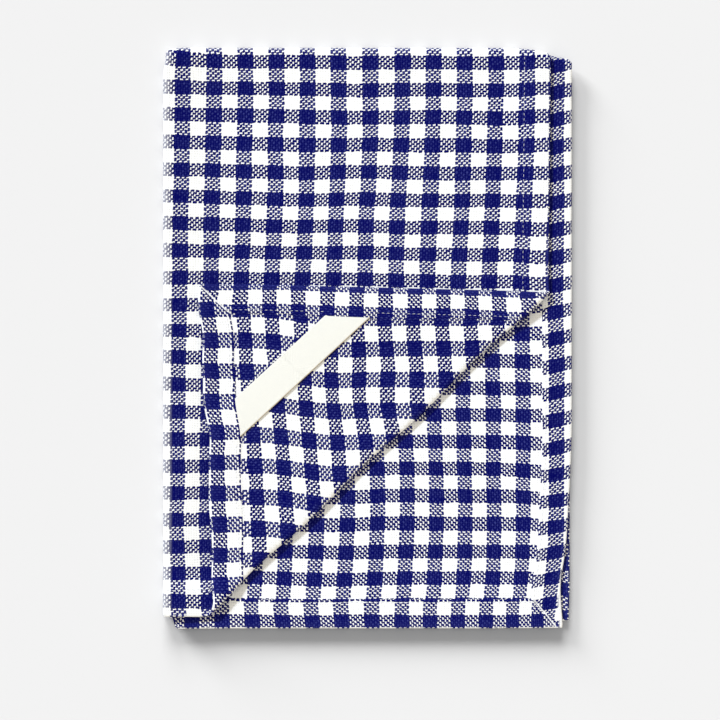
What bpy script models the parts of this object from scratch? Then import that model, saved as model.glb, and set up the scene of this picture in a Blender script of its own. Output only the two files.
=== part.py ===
"""Tea towel: one hemmed cloth folded in half twice, a corner turned back, and its tape loop.

Sizes are in millimetres until the meshes are made, which are in metres.
+X runs to the open side, +Y to the folded top edge and +Z up from the surface it lies on.
The origin is on that surface, under the middle of the folded towel.

The cloth was folded first at the left and then at the top, so it has four leaves. From the top
they are the outer leaf, two inner leaves, and the outer leaf again, which lies on the surface.
A place on the flat cloth is (u, l). u runs across it: 0 on the side fold, positive on the outer
leaves, negative on the inner ones. l runs along it: negative on the upper leaves, 0 to TOP_BEND
round the top fold, and more than that on the lower leaves.
"""
import math

import bmesh
import bpy
from mathutils import Vector

METRES = 0.001

# The folded towel's outline
LEFT_X = -125.0
RIGHT_X = 124.7
TOP_Y = 177.5
BOTTOM_Y = -177.6

# The cloth
THICKNESS = 1.1
HEM_WIDTH = 17.5
HEM_RISE = 0.85
HEM_STEP = 0.8
LEAF_PITCH = 1.6
CREST_X = LEFT_X + THICKNESS / 2.0

# The folds
TOP_BEND = 9.0
SIDE_PUFF = 1.6
SIDE_PUFF_REACH = 22.0
TOP_PUFF = 1.4
TOP_PUFF_REACH = 22.0
CORNER_ROUND = 1.6
CORNER_REACH = 6.0
INNER_DROP = 1.8
INNER_DROP_LEAD = 4.0
HEM_LEAD = 13.0

# Free edges: X of the side hems and Y of the end hems. An outer and an inner leaf make a pair,
# joined by the side fold.
PAIRS = {
    "upper": {"outer_x": 111.8, "outer_taper": 0.0080, "inner_x": RIGHT_X, "inner_draw": 4.9,
              "outer_y": -169.7, "outer_slant": 7.1, "inner_y": BOTTOM_Y},
    "lower": {"outer_x": 111.5, "outer_taper": 0.0, "inner_x": 123.6, "inner_draw": 0.0,
              "outer_y": -174.7, "outer_slant": 0.0, "inner_y": -173.2},
}
INNER_DRAW_FROM = -50.0
SLANT_FROM = -40.0
END_WRAP = 14.0

# The corner turned back: its fold leaves the open side at one point and the end hem at the other
TURN_START = (106.6, 24.4)
TURN_END = (-94.4, -166.2)
TURNED_TIP = (-102.9, 33.6)
TURN_RADIUS = 1.8
TURN_SETTLE = 17.0
TURN_WAVE = 0.8
TURN_WAVE_LENGTH = 92.0
TURN_WAVE_START = 13.0
TURN_WAVE_REACH = 11.0

# Air between the leaves, as soft swells and creases: middle, half length, half width, turn, rise
SWELLS = (
    {"gap": "middle", "x": -62.0, "y": 96.0, "length": 78.0, "width": 44.0, "turn": 12.0, "rise": 0.9},
    {"gap": "middle", "x": 48.0, "y": 118.0, "length": 60.0, "width": 34.0, "turn": -16.0, "rise": 0.7},
    {"gap": "middle", "x": 38.0, "y": -88.0, "length": 86.0, "width": 40.0, "turn": 34.0, "rise": 0.9},
    {"gap": "middle", "x": 92.0, "y": -128.0, "length": 52.0, "width": 11.0, "turn": 21.0, "rise": 0.5},
    {"gap": "upper", "x": -34.0, "y": 70.0, "length": 120.0, "width": 10.0, "turn": -5.0, "rise": 0.6},
    {"gap": "upper", "x": 66.0, "y": 142.0, "length": 14.0, "width": 58.0, "turn": 9.0, "rise": 0.6},
    {"gap": "upper", "x": -108.0, "y": -62.0, "length": 9.0, "width": 74.0, "turn": -3.0, "rise": 0.6},
    {"gap": "turned", "x": -44.0, "y": -20.0, "length": 70.0, "width": 16.0, "turn": 43.0, "rise": 0.7},
    {"gap": "turned", "x": 30.0, "y": 14.0, "length": 44.0, "width": 10.0, "turn": 8.0, "rise": 0.5},
    {"gap": "turned", "x": -86.0, "y": -96.0, "length": 10.0, "width": 44.0, "turn": -6.0, "rise": 0.5},
)

# The loop
LOOP_TOP = (-15.0, 12.8)
LOOP_SIDE = (-77.9, -45.2)
LOOP_WIDTH = 18.0
LOOP_THICKNESS = 1.1
LOOP_BOW = 0.6
CLEARANCE = 0.45

# Mesh stations: distances from a fold, then even cells, then the rise to the hem, its step and the hem
SIDE_STATIONS = (0.0, 1.3, 2.6, 4.0, 10.0, 19.0, 32.0)
TOP_STATIONS = (0.0, 6.0, 16.0, 29.0)
ACROSS_CELLS = 9
UPPER_CELLS = 14
LOWER_CELLS = 7
TOP_BEND_CELLS = 8
TURN_BEND_CELLS = 4
TURN_MARGINS = (-7.0, 7.0, 18.0)
LOOP_CELLS = 12
PROBE_STEP = 0.05
SURFACE_SNAP = 0.02
LOOP_SEARCH = 80.0
LOOP_SEARCH_STEPS = 30


def ramp(value, start, end):
    """Rise smoothly from 0 at start to 1 at end."""
    share = min(max((value - start) / (end - start), 0.0), 1.0)
    return share * share * (3.0 - 2.0 * share)


def bell(value, reach):
    return math.exp(-(value / reach) ** 2)


def mix(first, second, share):
    return first + (second - first) * share


# Free edges of the leaves

def outer_edge_x(pair, y):
    leaves = PAIRS[pair]
    return leaves["outer_x"] - leaves["outer_taper"] * (TOP_Y - y)


def inner_edge_x(pair, y):
    leaves = PAIRS[pair]
    return leaves["inner_x"] - leaves["inner_draw"] * ramp(-y, -INNER_DRAW_FROM, -BOTTOM_Y)


def outer_edge_y(pair, x):
    leaves = PAIRS[pair]
    return leaves["outer_y"] - leaves["outer_slant"] * ramp(x, SLANT_FROM, RIGHT_X)


# Heights of the leaves

def swell(gap, x, y):
    """Total rise at a place of the soft swells in one gap between leaves."""
    total = 0.0
    for row in SWELLS:
        if row["gap"] != gap:
            continue
        angle = math.radians(row["turn"])
        along = (x - row["x"]) * math.cos(angle) + (y - row["y"]) * math.sin(angle)
        beside = (y - row["y"]) * math.cos(angle) - (x - row["x"]) * math.sin(angle)
        total += row["rise"] * bell(along, row["length"]) * bell(beside, row["width"])
    return total


def hem_lift(x, y, edge_x, edge_y):
    """1 where a leaf has a hem, falling smoothly to 0 just inside it."""
    side_line = edge_x - HEM_WIDTH - HEM_STEP
    end_line = edge_y + HEM_WIDTH + HEM_STEP
    beside = ramp(x, side_line - HEM_LEAD, side_line)
    below = ramp(-y, -end_line - HEM_LEAD, -end_line)
    return 1.0 - (1.0 - beside) * (1.0 - below)


def pair_spacing(pair, x, y):
    """Distance between the middles of an outer leaf and the inner leaf beside it."""
    leaves = PAIRS[pair]
    outer = hem_lift(x, y, outer_edge_x(pair, BOTTOM_Y), leaves["outer_y"])
    inner = hem_lift(x, y, inner_edge_x(pair, BOTTOM_Y), leaves["inner_y"])
    puff = SIDE_PUFF * bell(x - LEFT_X, SIDE_PUFF_REACH)
    return LEAF_PITCH + puff + HEM_RISE * (outer + inner) + swell(pair, x, y)


def middle_spacing(x, y):
    """Distance between the middles of the two inner leaves."""
    return LEAF_PITCH + TOP_PUFF * bell(TOP_Y - y, TOP_PUFF_REACH) + swell("middle", x, y)


def pair_middle(pair, x, y):
    """Height of the middle of a pair of leaves, and half the distance between them."""
    half_lower = pair_spacing("lower", x, y) / 2.0
    if pair == "lower":
        return THICKNESS / 2.0 + half_lower, half_lower
    half_upper = pair_spacing("upper", x, y) / 2.0
    middle = THICKNESS / 2.0 + 2.0 * half_lower + middle_spacing(x, y) + half_upper
    return middle, half_upper


def top_leaf_height(x, y):
    middle, half = pair_middle("upper", x, y)
    return middle + half


# Folding

def fold_y(x):
    """Y at which the leaves at x start to bend round the top fold."""
    upper, half = pair_middle("upper", x, TOP_Y)
    lower, _ = pair_middle("lower", x, TOP_Y)
    reach = (upper - lower) / 2.0 + half + THICKNESS / 2.0
    side_drop = CORNER_ROUND * bell(x - LEFT_X, CORNER_REACH)
    inner_drop = INNER_DROP * ramp(x, outer_edge_x("upper", TOP_Y) - INNER_DROP_LEAD, RIGHT_X)
    return TOP_Y - reach - side_drop - inner_drop


def bend_round_side(u, radius):
    """Distance from the side fold's crest, and the side: 1 on an outer leaf, -1 on an inner one."""
    if abs(u) < radius * math.pi / 2.0:
        return radius * (1.0 - math.cos(u / radius)), math.sin(u / radius)
    return abs(u) - radius * (math.pi / 2.0 - 1.0), math.copysign(1.0, u)


def side_place_x(from_crest, y):
    """X at a distance from the side fold's crest, which draws in at the top corner."""
    draw = CORNER_ROUND * bell(TOP_Y - y, CORNER_REACH) * bell(from_crest, 2.0 * CORNER_REACH)
    return CREST_X + from_crest + draw


class CornerTurn:
    """The turn of the top leaf's corner about its diagonal fold."""

    def __init__(self):
        self.start = Vector(TURN_START)
        self.along = (Vector(TURN_END) - self.start).normalized()
        self.out = Vector((-self.along.y, self.along.x))
        self.inset = TURN_RADIUS + THICKNESS / 2.0
        corner_y = outer_edge_y("upper", outer_edge_x("upper", BOTTOM_Y))
        corner = Vector((outer_edge_x("upper", corner_y), corner_y)) - self.start
        tip = Vector(TURNED_TIP) - self.start
        self.bend = TURN_RADIUS * math.pi
        past = corner.dot(self.out) + self.inset - self.bend
        self.stretch = (-tip.dot(self.out) - self.inset) / past
        self.shear = (tip.dot(self.along) - corner.dot(self.along)) / past

    def distance(self, x, y):
        """Distance past the line where the cloth starts to turn, and the place along it."""
        place = Vector((x, y)) - self.start
        return place.dot(self.out) + self.inset, place.dot(self.along)

    def place(self, across, along):
        return self.start + self.along * along + self.out * (across - self.inset)

    def wave(self, across, along):
        """Unevenness of the fold's edge in plan."""
        swing = math.sin(2.0 * math.pi * (along + TURN_WAVE_START) / TURN_WAVE_LENGTH)
        return self.out * (TURN_WAVE * swing * bell(across - TURN_RADIUS, TURN_WAVE_REACH))

    def spacing(self, past, x, y):
        """Distance from the middle of the top leaf up to the middle of the turned corner."""
        settled = LEAF_PITCH + swell("turned", x, y)
        return settled + (2.0 * TURN_RADIUS - LEAF_PITCH) * bell(past, TURN_SETTLE)

    def lay(self, x, y):
        """Where a place of the top leaf lies once the corner is turned back."""
        across, along = self.distance(x, y)
        if across <= 0.0:
            plan = Vector((x, y)) + self.wave(across, along)
            return Vector((plan.x, plan.y, top_leaf_height(x, y)))
        if across < self.bend:
            angle = across / TURN_RADIUS
            foot = self.place(0.0, along)
            plan = self.place(TURN_RADIUS * math.sin(angle), along)
            plan += self.wave(TURN_RADIUS * math.sin(angle), along)
            ease = swell("turned", plan.x, plan.y) * (across / self.bend) ** 2
            rise = TURN_RADIUS * (1.0 - math.cos(angle)) + ease
            return Vector((plan.x, plan.y, top_leaf_height(foot.x, foot.y) + rise))
        past = across - self.bend
        along += self.shear * past
        plan = self.place(-self.stretch * past, along)
        plan += self.wave(-self.stretch * past, along)
        rise = self.spacing(past, plan.x, plan.y)
        return Vector((plan.x, plan.y, top_leaf_height(plan.x, plan.y) + rise))

    def flat_place(self, x, y):
        """The place of the top leaf that the turned corner shows at x and y."""
        across, along = self.distance(x, y)
        past = -across / self.stretch
        return self.place(past + self.bend, along - self.shear * past)

    def height(self, x, y):
        """Height of the turned corner's middle at x and y."""
        across, _ = self.distance(x, y)
        past = -across / self.stretch
        return top_leaf_height(x, y) + self.spacing(past, x, y)


def lay_cloth(turn, u, l):
    """Where a place on the flat cloth lies in the folded towel."""
    pair = "upper" if l <= TOP_BEND / 2.0 else "lower"
    guess_y = TOP_Y + l if pair == "upper" else TOP_Y + TOP_BEND - l
    guess_y = min(guess_y, TOP_Y)
    radius = pair_spacing(pair, LEFT_X, guess_y) / 2.0
    from_crest, side = bend_round_side(u, radius)
    x = side_place_x(from_crest, guess_y)
    start_y = fold_y(x)
    if 0.0 < l < TOP_BEND:
        upper, half_upper = pair_middle("upper", x, start_y)
        lower, half_lower = pair_middle("lower", x, start_y)
        angle = math.pi * l / TOP_BEND
        half = mix(half_upper, half_lower, ramp(l, 0.0, TOP_BEND))
        reach = (upper - lower) / 2.0 + side * half
        return Vector((x, start_y + reach * math.sin(angle),
                       (upper + lower) / 2.0 + reach * math.cos(angle)))
    if pair == "lower":
        y = start_y - (l - TOP_BEND)
        middle, half = pair_middle("lower", x, y)
        return Vector((x, y, middle - side * half))
    y = start_y + l
    middle, half = pair_middle("upper", x, y)
    if u > 0.0 and turn.distance(x, y)[0] > -2.0 * TURN_WAVE_REACH:
        return turn.lay(x, y)
    return Vector((x, y, middle + side * half))


# The flat cloth

def flat_from_plan(x, y):
    """The place on the flat cloth of a plan position on the upper outer leaf."""
    radius = (LEAF_PITCH + SIDE_PUFF) / 2.0
    return x - CREST_X + radius * (math.pi / 2.0 - 1.0), y - fold_y(x)


def flat_width(u, l):
    """Width of the leaf that holds a place, from the side fold to its free edge."""
    lower_share = ramp(l, 0.0, TOP_BEND)
    y = TOP_Y - abs(l - TOP_BEND / 2.0)
    edge = outer_edge_x if u >= 0.0 else inner_edge_x
    edge_x = mix(edge("upper", y), edge("lower", y), lower_share)
    tuck = CORNER_ROUND * math.sin(math.pi * min(max(l / TOP_BEND, 0.0), 1.0))
    return flat_from_plan(edge_x - tuck, 0.0)[0]


def flat_length(u, pair):
    """Length of a leaf, from the top fold to its end hem's edge, at a place across it."""
    x = CREST_X + abs(u)
    share = ramp(-u, 0.0, END_WRAP)
    end_y = mix(outer_edge_y(pair, x), PAIRS[pair]["inner_y"], share)
    return fold_y(x) - end_y


def hem_share(u, l):
    """1 on the hem and 0 inside it, with a straight step between them."""
    side_edge = flat_width(u, l) - abs(u)
    end_edge = HEM_WIDTH * 2.0
    if l < 0.0:
        end_edge = flat_length(u, "upper") + l
    elif l > TOP_BEND:
        end_edge = flat_length(u, "lower") - (l - TOP_BEND)
    from_edge = min(side_edge, end_edge)
    return min(max((HEM_WIDTH + HEM_STEP - from_edge) / HEM_STEP, 0.0), 1.0)


def leaf_stations(first, cells):
    """Places from a fold to a free edge: (share of the way to the rise before the hem, distance on)."""
    stations = [(0.0, place) for place in first]
    stations += [(index / cells, first[-1] * (1.0 - index / cells)) for index in range(1, cells + 1)]
    stations += [(1.0, HEM_LEAD / 2.0), (1.0, HEM_LEAD), (1.0, HEM_LEAD + HEM_STEP)]
    stations.append((1.0, HEM_LEAD + HEM_STEP + HEM_WIDTH))
    return stations


def station_place(station, length):
    share, rest = station
    return share * (length - HEM_WIDTH - HEM_STEP - HEM_LEAD) + rest


def flat_places():
    """Rows of places on the flat cloth, one row for each station along it."""
    across = leaf_stations(SIDE_STATIONS, ACROSS_CELLS)
    across = [(-1.0, station) for station in reversed(across[1:])] + [(1.0, station) for station in across]
    along = [("upper", station) for station in reversed(leaf_stations(TOP_STATIONS, UPPER_CELLS))]
    along += [("bend", index / TOP_BEND_CELLS) for index in range(1, TOP_BEND_CELLS)]
    along += [("lower", station) for station in leaf_stations(TOP_STATIONS, LOWER_CELLS)]
    rows = []
    for part, station in along:
        row = []
        for side, across_station in across:
            guess = TOP_BEND * station if part == "bend" else station_place(station, TOP_Y - BOTTOM_Y)
            guess_l = {"upper": -guess, "bend": guess, "lower": TOP_BEND + guess}[part]
            u = side * station_place(across_station, flat_width(side, guess_l))
            l = guess
            if part != "bend":
                l = station_place(station, flat_length(u, part))
            row.append((u, {"upper": -l, "bend": l, "lower": TOP_BEND + l}[part]))
        rows.append(row)
    return rows


def cut_along_turn(flat, turn):
    """Add edges to the flat cloth along the diagonal fold, so that it can bend there."""
    lines = [turn.bend * index / TURN_BEND_CELLS for index in range(TURN_BEND_CELLS + 1)]
    lines += [margin if margin < 0.0 else turn.bend + margin for margin in TURN_MARGINS]
    for line in sorted(lines):
        faces = [face for face in flat.faces if all(is_on_turning_leaf(vertex) for vertex in face.verts)]
        geometry = set(faces)
        for face in faces:
            geometry.update(face.edges)
            geometry.update(face.verts)
        foot = turn.place(line, 0.0)
        bmesh.ops.bisect_plane(flat, geom=list(geometry), dist=HEM_STEP / 8.0,
                               plane_co=(*flat_from_plan(foot.x, foot.y), 0.0),
                               plane_no=(turn.out.x, turn.out.y, 0.0))


def is_on_turning_leaf(vertex):
    """Whether a place is on the upper outer leaf, clear of its side and top folds."""
    return vertex.co.x > SIDE_STATIONS[2] and vertex.co.y < -TOP_STATIONS[1] / 2.0


def flat_mesh(turn):
    """The flat cloth as triangles, with u and l as its X and Y."""
    flat = bmesh.new()
    rows = [[flat.verts.new((u, l, 0.0)) for u, l in row] for row in flat_places()]
    for lower, upper in zip(rows, rows[1:]):
        for index in range(len(lower) - 1):
            flat.faces.new((lower[index], lower[index + 1], upper[index + 1], upper[index]))
    cut_along_turn(flat, turn)
    bmesh.ops.triangulate(flat, faces=flat.faces[:])
    return flat


def face_normal(turn, u, l):
    """Direction of the cloth's right side at a place."""
    before_u, after_u = lay_cloth(turn, u - PROBE_STEP, l), lay_cloth(turn, u + PROBE_STEP, l)
    before_l, after_l = lay_cloth(turn, u, l - PROBE_STEP), lay_cloth(turn, u, l + PROBE_STEP)
    return (after_u - before_u).cross(after_l - before_l).normalized()


def settle(point):
    """Put a point that is within a hair of the surface on it."""
    return Vector((point.x, point.y, 0.0 if abs(point.z) < SURFACE_SNAP else point.z))


def cloth_mesh(turn):
    """The cloth as one closed solid: right side, wrong side with its raised hems, and edges."""
    flat = flat_mesh(turn)
    flat.verts.index_update()
    solid = bmesh.new()
    right_side, wrong_side = [], []
    for vertex in flat.verts:
        u, l = vertex.co.x, vertex.co.y
        middle = lay_cloth(turn, u, l)
        normal = face_normal(turn, u, l)
        depth = THICKNESS / 2.0 + HEM_RISE * hem_share(u, l)
        right_side.append(solid.verts.new(settle(middle + normal * THICKNESS / 2.0)))
        wrong_side.append(solid.verts.new(middle - normal * depth))
    for face in flat.faces:
        places = [vertex.index for vertex in face.verts]
        solid.faces.new([right_side[place] for place in places])
        solid.faces.new([wrong_side[place] for place in reversed(places)])
    for edge in flat.edges:
        if edge.is_boundary:
            loop = edge.link_loops[0]
            first, second = loop.vert.index, loop.link_loop_next.vert.index
            solid.faces.new((right_side[second], right_side[first], wrong_side[first], wrong_side[second]))
    flat.free()
    bmesh.ops.triangulate(solid, faces=solid.faces[:])
    return solid


# The loop

def loop_end(turn, start, direction):
    """Where a straight line on the turned corner comes to the inner edge of a hem."""
    near, far = 0.0, LOOP_SEARCH
    for _ in range(LOOP_SEARCH_STEPS):
        middle = (near + far) / 2.0
        place = turn.flat_place(*(start + direction * middle))
        u, l = flat_from_plan(place.x, place.y)
        from_edge = min(flat_width(u, l) - u, flat_length(u, "upper") + l)
        if from_edge > HEM_WIDTH + HEM_STEP + CLEARANCE:
            near = middle
        else:
            far = middle
    return start + direction * near


def loop_mesh(turn):
    """The tape as a flat strip on the turned corner, its ends cut to the hems' inner edges."""
    top, side = Vector(LOOP_TOP), Vector(LOOP_SIDE)
    direction = (side - top).normalized()
    beside = Vector((-direction.y, direction.x))
    middle = (top + side) / 2.0
    tape = bmesh.new()
    under, over = [], []
    for across in (-LOOP_WIDTH / 2.0, 0.0, LOOP_WIDTH / 2.0):
        start = middle + beside * across
        first = loop_end(turn, start, -direction)
        last = loop_end(turn, start, direction)
        for index in range(LOOP_CELLS + 1):
            share = index / LOOP_CELLS
            place = first.lerp(last, share)
            rest = turn.height(place.x, place.y) + THICKNESS / 2.0 + CLEARANCE
            rest += LOOP_BOW * math.sin(math.pi * share)
            under.append(tape.verts.new((place.x, place.y, rest)))
            over.append(tape.verts.new((place.x, place.y, rest + LOOP_THICKNESS)))
    row = LOOP_CELLS + 1
    for lane in range(2):
        for index in range(LOOP_CELLS):
            a, b = lane * row + index, lane * row + index + 1
            c, d = b + row, a + row
            tape.faces.new((over[a], over[b], over[c], over[d]))
            tape.faces.new((under[d], under[c], under[b], under[a]))
    for edge in [edge for edge in tape.edges if edge.is_boundary and edge.verts[0] in over]:
        loop = edge.link_loops[0]
        first, second = over.index(loop.vert), over.index(loop.link_loop_next.vert)
        tape.faces.new((over[second], over[first], under[first], under[second]))
    bmesh.ops.triangulate(tape, faces=tape.faces[:])
    bmesh.ops.recalc_face_normals(tape, faces=tape.faces[:])
    return tape


# Objects

def cotton(name, colour, roughness):
    material = bpy.data.materials.new(name)
    material.use_nodes = True
    shader = material.node_tree.nodes["Principled BSDF"]
    shader.inputs["Base Color"].default_value = (*colour, 1.0)
    shader.inputs["Roughness"].default_value = roughness
    shader.inputs["Metallic"].default_value = 0.0
    return material


def add_object(name, solid, material, shift):
    bmesh.ops.translate(solid, verts=solid.verts[:], vec=shift)
    bmesh.ops.scale(solid, verts=solid.verts[:], vec=(METRES, METRES, METRES))
    mesh = bpy.data.meshes.new(name)
    solid.to_mesh(mesh)
    solid.free()
    mesh.materials.append(material)
    mesh.shade_smooth()
    mesh.set_sharp_from_angle(angle=math.radians(40.0))
    bpy.context.scene.collection.objects.link(bpy.data.objects.new(name, mesh))


def main():
    for old in list(bpy.data.objects):
        bpy.data.objects.remove(old, do_unlink=True)
    turn = CornerTurn()
    cloth = cloth_mesh(turn)
    loop = loop_mesh(turn)
    across = [vertex.co.x for vertex in cloth.verts]
    along = [vertex.co.y for vertex in cloth.verts]
    shift = Vector((-(min(across) + max(across)) / 2.0, -(min(along) + max(along)) / 2.0, 0.0))
    add_object("cloth", cloth, cotton("gingham cotton", (0.36, 0.36, 0.50), 0.9), shift)
    add_object("loop", loop, cotton("cream cotton tape", (0.88, 0.85, 0.74), 0.85), shift)


main()
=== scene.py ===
"""Looks of the folded tea towel: gingham cotton, its hems and stitches, and the tape loop.

The towel is one cloth folded in half twice, with the corner of its top leaf turned back.
+X runs to the open side, +Y to the folded top edge and +Z up from the surface it lies on.
Sizes are in millimetres until a mesh is made, which is in metres.

A place on the flat cloth is (u, l). u runs across it: 0 on the side fold, positive on the outer
leaves, negative on the inner ones. l runs along it: negative on the upper leaves, 0 to TOP_BEND
round the top fold, and more than that on the lower leaves.
"""
import math
from functools import partial

import bmesh
import bpy
import numpy as np
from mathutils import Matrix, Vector


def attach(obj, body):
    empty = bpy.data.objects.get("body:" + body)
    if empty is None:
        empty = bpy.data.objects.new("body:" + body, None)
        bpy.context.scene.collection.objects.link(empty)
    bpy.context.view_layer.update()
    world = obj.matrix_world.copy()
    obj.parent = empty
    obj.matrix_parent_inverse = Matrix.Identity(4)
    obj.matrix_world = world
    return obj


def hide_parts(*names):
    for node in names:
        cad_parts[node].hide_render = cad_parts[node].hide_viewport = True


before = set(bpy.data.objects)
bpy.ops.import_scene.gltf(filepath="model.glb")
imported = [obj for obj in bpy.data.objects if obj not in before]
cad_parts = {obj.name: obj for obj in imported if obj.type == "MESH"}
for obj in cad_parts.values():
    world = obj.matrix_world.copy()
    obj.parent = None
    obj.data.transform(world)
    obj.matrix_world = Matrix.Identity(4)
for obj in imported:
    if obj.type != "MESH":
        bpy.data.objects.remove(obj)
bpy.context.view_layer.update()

bl_info = {
    "name": "Folded Tea Towel",
    "version": (1, 0, 0),
    "blender": (4, 5, 0),
    "location": "3D View > Sidebar > Tea Towel",
    "description": "A gingham tea towel folded in four, with a corner turned back to show its loop",
    "category": "Object",
}

METRES = 0.001

# The folded towel's outline, before CENTRING moves it to the middle of the frame
LEFT_X, RIGHT_X = -125.0, 124.7
BOTTOM_Y, TOP_Y = -177.6, 177.5
CENTRING = np.array((0.146, 0.095, 0.0))

# The cloth. LEAF_PITCH is from one leaf's middle to the next. A hem shows as a soft step on the
# wrong side, and lifts the leaf above it by HEM_RISE.
THICKNESS = 1.1
LEAF_PITCH = 1.6
CREST_X = LEFT_X + THICKNESS / 2.0
HEM_WIDTH = 17.5
HEM_RISE = 0.85
HEM_STEP = 0.8
HEM_SOFT = (HEM_WIDTH - 0.9, HEM_WIDTH + HEM_STEP + 0.7)
HEM_LEAD = 13.0
HEM_SHOWN = 0.55
HEM_PATTERN_WIDTH = HEM_WIDTH + 0.45
# Reach from the free edges of the navy's painted highlight and edge wear
EDGE_SHEEN_WEAR_REACH = 4.0

# Where the side hem and the end hem are wider: by how much, at which l or u, and over what reach
HEM_WIDER = ((1.7, -250.0, 46.0), (1.4, 161.0, 32.0))
SIDE_WIDER_FROM_U = (60.0, 120.0)
END_WIDER_FROM_L = (200.0, 280.0)

# The hems' corners: a groove along each mitre seam, and a painted highlight on each seam and along
# an edge near its end, where the real edge curls up
MITRE_WIDTH = 0.65
MITRE_DEPTH = 0.6
MITRE_REACH = 2.0 * HEM_WIDTH
MITRE_NEAR_U = 225.0
MITRE_CUT_WIDTH = 6.0
CURL_BELOW = (140.0, 150.0)
CURL_WIDTH = (0.3, 1.7)

# The folds
TOP_BEND = 9.0
SIDE_PUFF, SIDE_PUFF_REACH = 1.6, 22.0
TOP_PUFF, TOP_PUFF_REACH = 1.4, 22.0
CORNER_ROUND, CORNER_REACH = 1.6, 6.0
CORNER_DROP, CORNER_DROP_X = 4.4, (98.0, RIGHT_X + 2.0)
EDGE_SQUEEZE, EDGE_SQUEEZE_X = 1.5, (84.0, RIGHT_X - 16.0)

# Cloth that half of the side fold takes up, beyond its width in plan
SIDE_WRAP = (LEAF_PITCH + SIDE_PUFF) / 2.0 * (math.pi / 2.0 - 1.0)

# Free edges: X of the side hems and Y of the end hems. An outer and an inner leaf make a pair,
# joined by the side fold.
UPPER = {"outer_x": 111.8, "outer_taper": 0.0080, "inner_x": RIGHT_X, "inner_draw": 4.9,
         "outer_y": -169.7, "outer_slant": 7.1, "inner_y": BOTTOM_Y, "end_draw": 3.2,
         "end_tuck": 0.0}
LOWER = {"outer_x": 111.5, "outer_taper": 0.0, "inner_x": 123.6, "inner_draw": 0.0,
         "outer_y": -174.7, "outer_slant": 0.0, "inner_y": -173.2, "end_draw": 0.0,
         "end_tuck": 6.5}
INNER_DRAW_FROM_Y = -50.0
INNER_PINCH, INNER_PINCH_Y, INNER_PINCH_REACH = 0.45, -155.0, 16.0
SLANT_FROM_X = -40.0
END_DRAW_X = (-101.0, -86.0)
END_DRAW_FADE_X = (-50.0, 45.0)
END_WRAP_U = (6.5, 9.8)
END_TUCK_REACH = 8.0

# The corner turned back: its fold leaves the open side at one point and the end hem at the other
TURN_START = np.array((106.6, 24.4))
TURN_END = np.array((-94.4, -166.2))
TURNED_TIP = np.array((-102.9, 33.6))
TURN_RADIUS = 1.15
TURN_SETTLE = 17.0
TURN_WAVE, TURN_WAVE_LENGTH = 0.8, 92.0
TURN_WAVE_START, TURN_WAVE_REACH = 13.0, 11.0

# The turned corner's left edge off a straight line: middle in Y, reach, and how far in. It fades
# between two distances inside the edge, and between two from the diagonal fold.
EDGE_NUDGES = ((20.0, 9.0, -1.0), (0.0, 10.0, 1.2), (-38.0, 9.0, -0.7), (-60.0, 10.0, 1.4),
               (-102.0, 24.0, -2.6), (-146.0, 16.0, -1.0))
NUDGE_INSIDE = (18.5, 25.0)
NUDGE_FROM_FOLD = (1.0, 12.0)

# Air between the leaves as soft swells, by gap: middle in X and Y, half length, half
# width, turn in degrees and rise
SWELLS = {
    "middle": ((-62.0, 96.0, 78.0, 44.0, 12.0, 0.9), (48.0, 118.0, 60.0, 34.0, -16.0, 0.7),
               (38.0, -88.0, 86.0, 40.0, 34.0, 0.9), (92.0, -128.0, 52.0, 11.0, 21.0, 0.5)),
    "upper": ((-34.0, 70.0, 120.0, 10.0, -5.0, 0.6), (66.0, 142.0, 14.0, 58.0, 9.0, 0.6),
              (-108.0, -62.0, 9.0, 74.0, -3.0, 0.6)),
    "turned": ((-44.0, -20.0, 70.0, 16.0, 43.0, 0.7), (30.0, 14.0, 44.0, 10.0, 8.0, 0.5),
               (-86.0, -96.0, 10.0, 44.0, -6.0, 0.5)),
}

PULLS = {
    "top": ((60.0, 20.0, 170.0, 75.0, -4.2, 0.0), (-85.0, -110.0, 50.0, 95.0, -4.8, 0.0),
            (10.0, 75.0, 150.0, 70.0, 0.0, -1.5), (-56.0, 85.0, 35.0, 50.0, 0.0, -0.7),
            (108.0, 50.0, 10.0, 22.0, 0.0, -2.0), (108.0, 148.0, 10.0, 30.0, 0.0, 1.6)),
    "turned": ((10.0, -39.0, 38.0, 20.0, -2.9, 0.0), (92.0, 25.0, 28.0, 16.0, -2.2, 0.0)),
    "under": ((15.0, -99.0, 68.0, 45.0, 2.9, 0.0), (-33.0, -130.0, 40.0, 40.0, 0.0, -1.6),
              (94.0, -40.0, 20.0, 60.0, 0.0, -1.2), (120.0, 155.0, 22.0, 82.0, 0.0, 4.8),
              (120.0, -92.0, 22.0, 42.0, 0.0, -2.2), (120.0, -175.0, 22.0, 38.0, -5.4, 0.0),
              (-43.0, -176.0, 42.0, 8.0, 2.0, 0.0)),
}
LOWER_LEAN, LOWER_LEAN_REACH = 9.0, 180.0

# Checks: one light and one dark band of 6 threads each, across and along the cloth
CHECK_WIDTH = 19.17
CHECK_LENGTH = 16.51
CHECK_THREADS = 12

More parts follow.
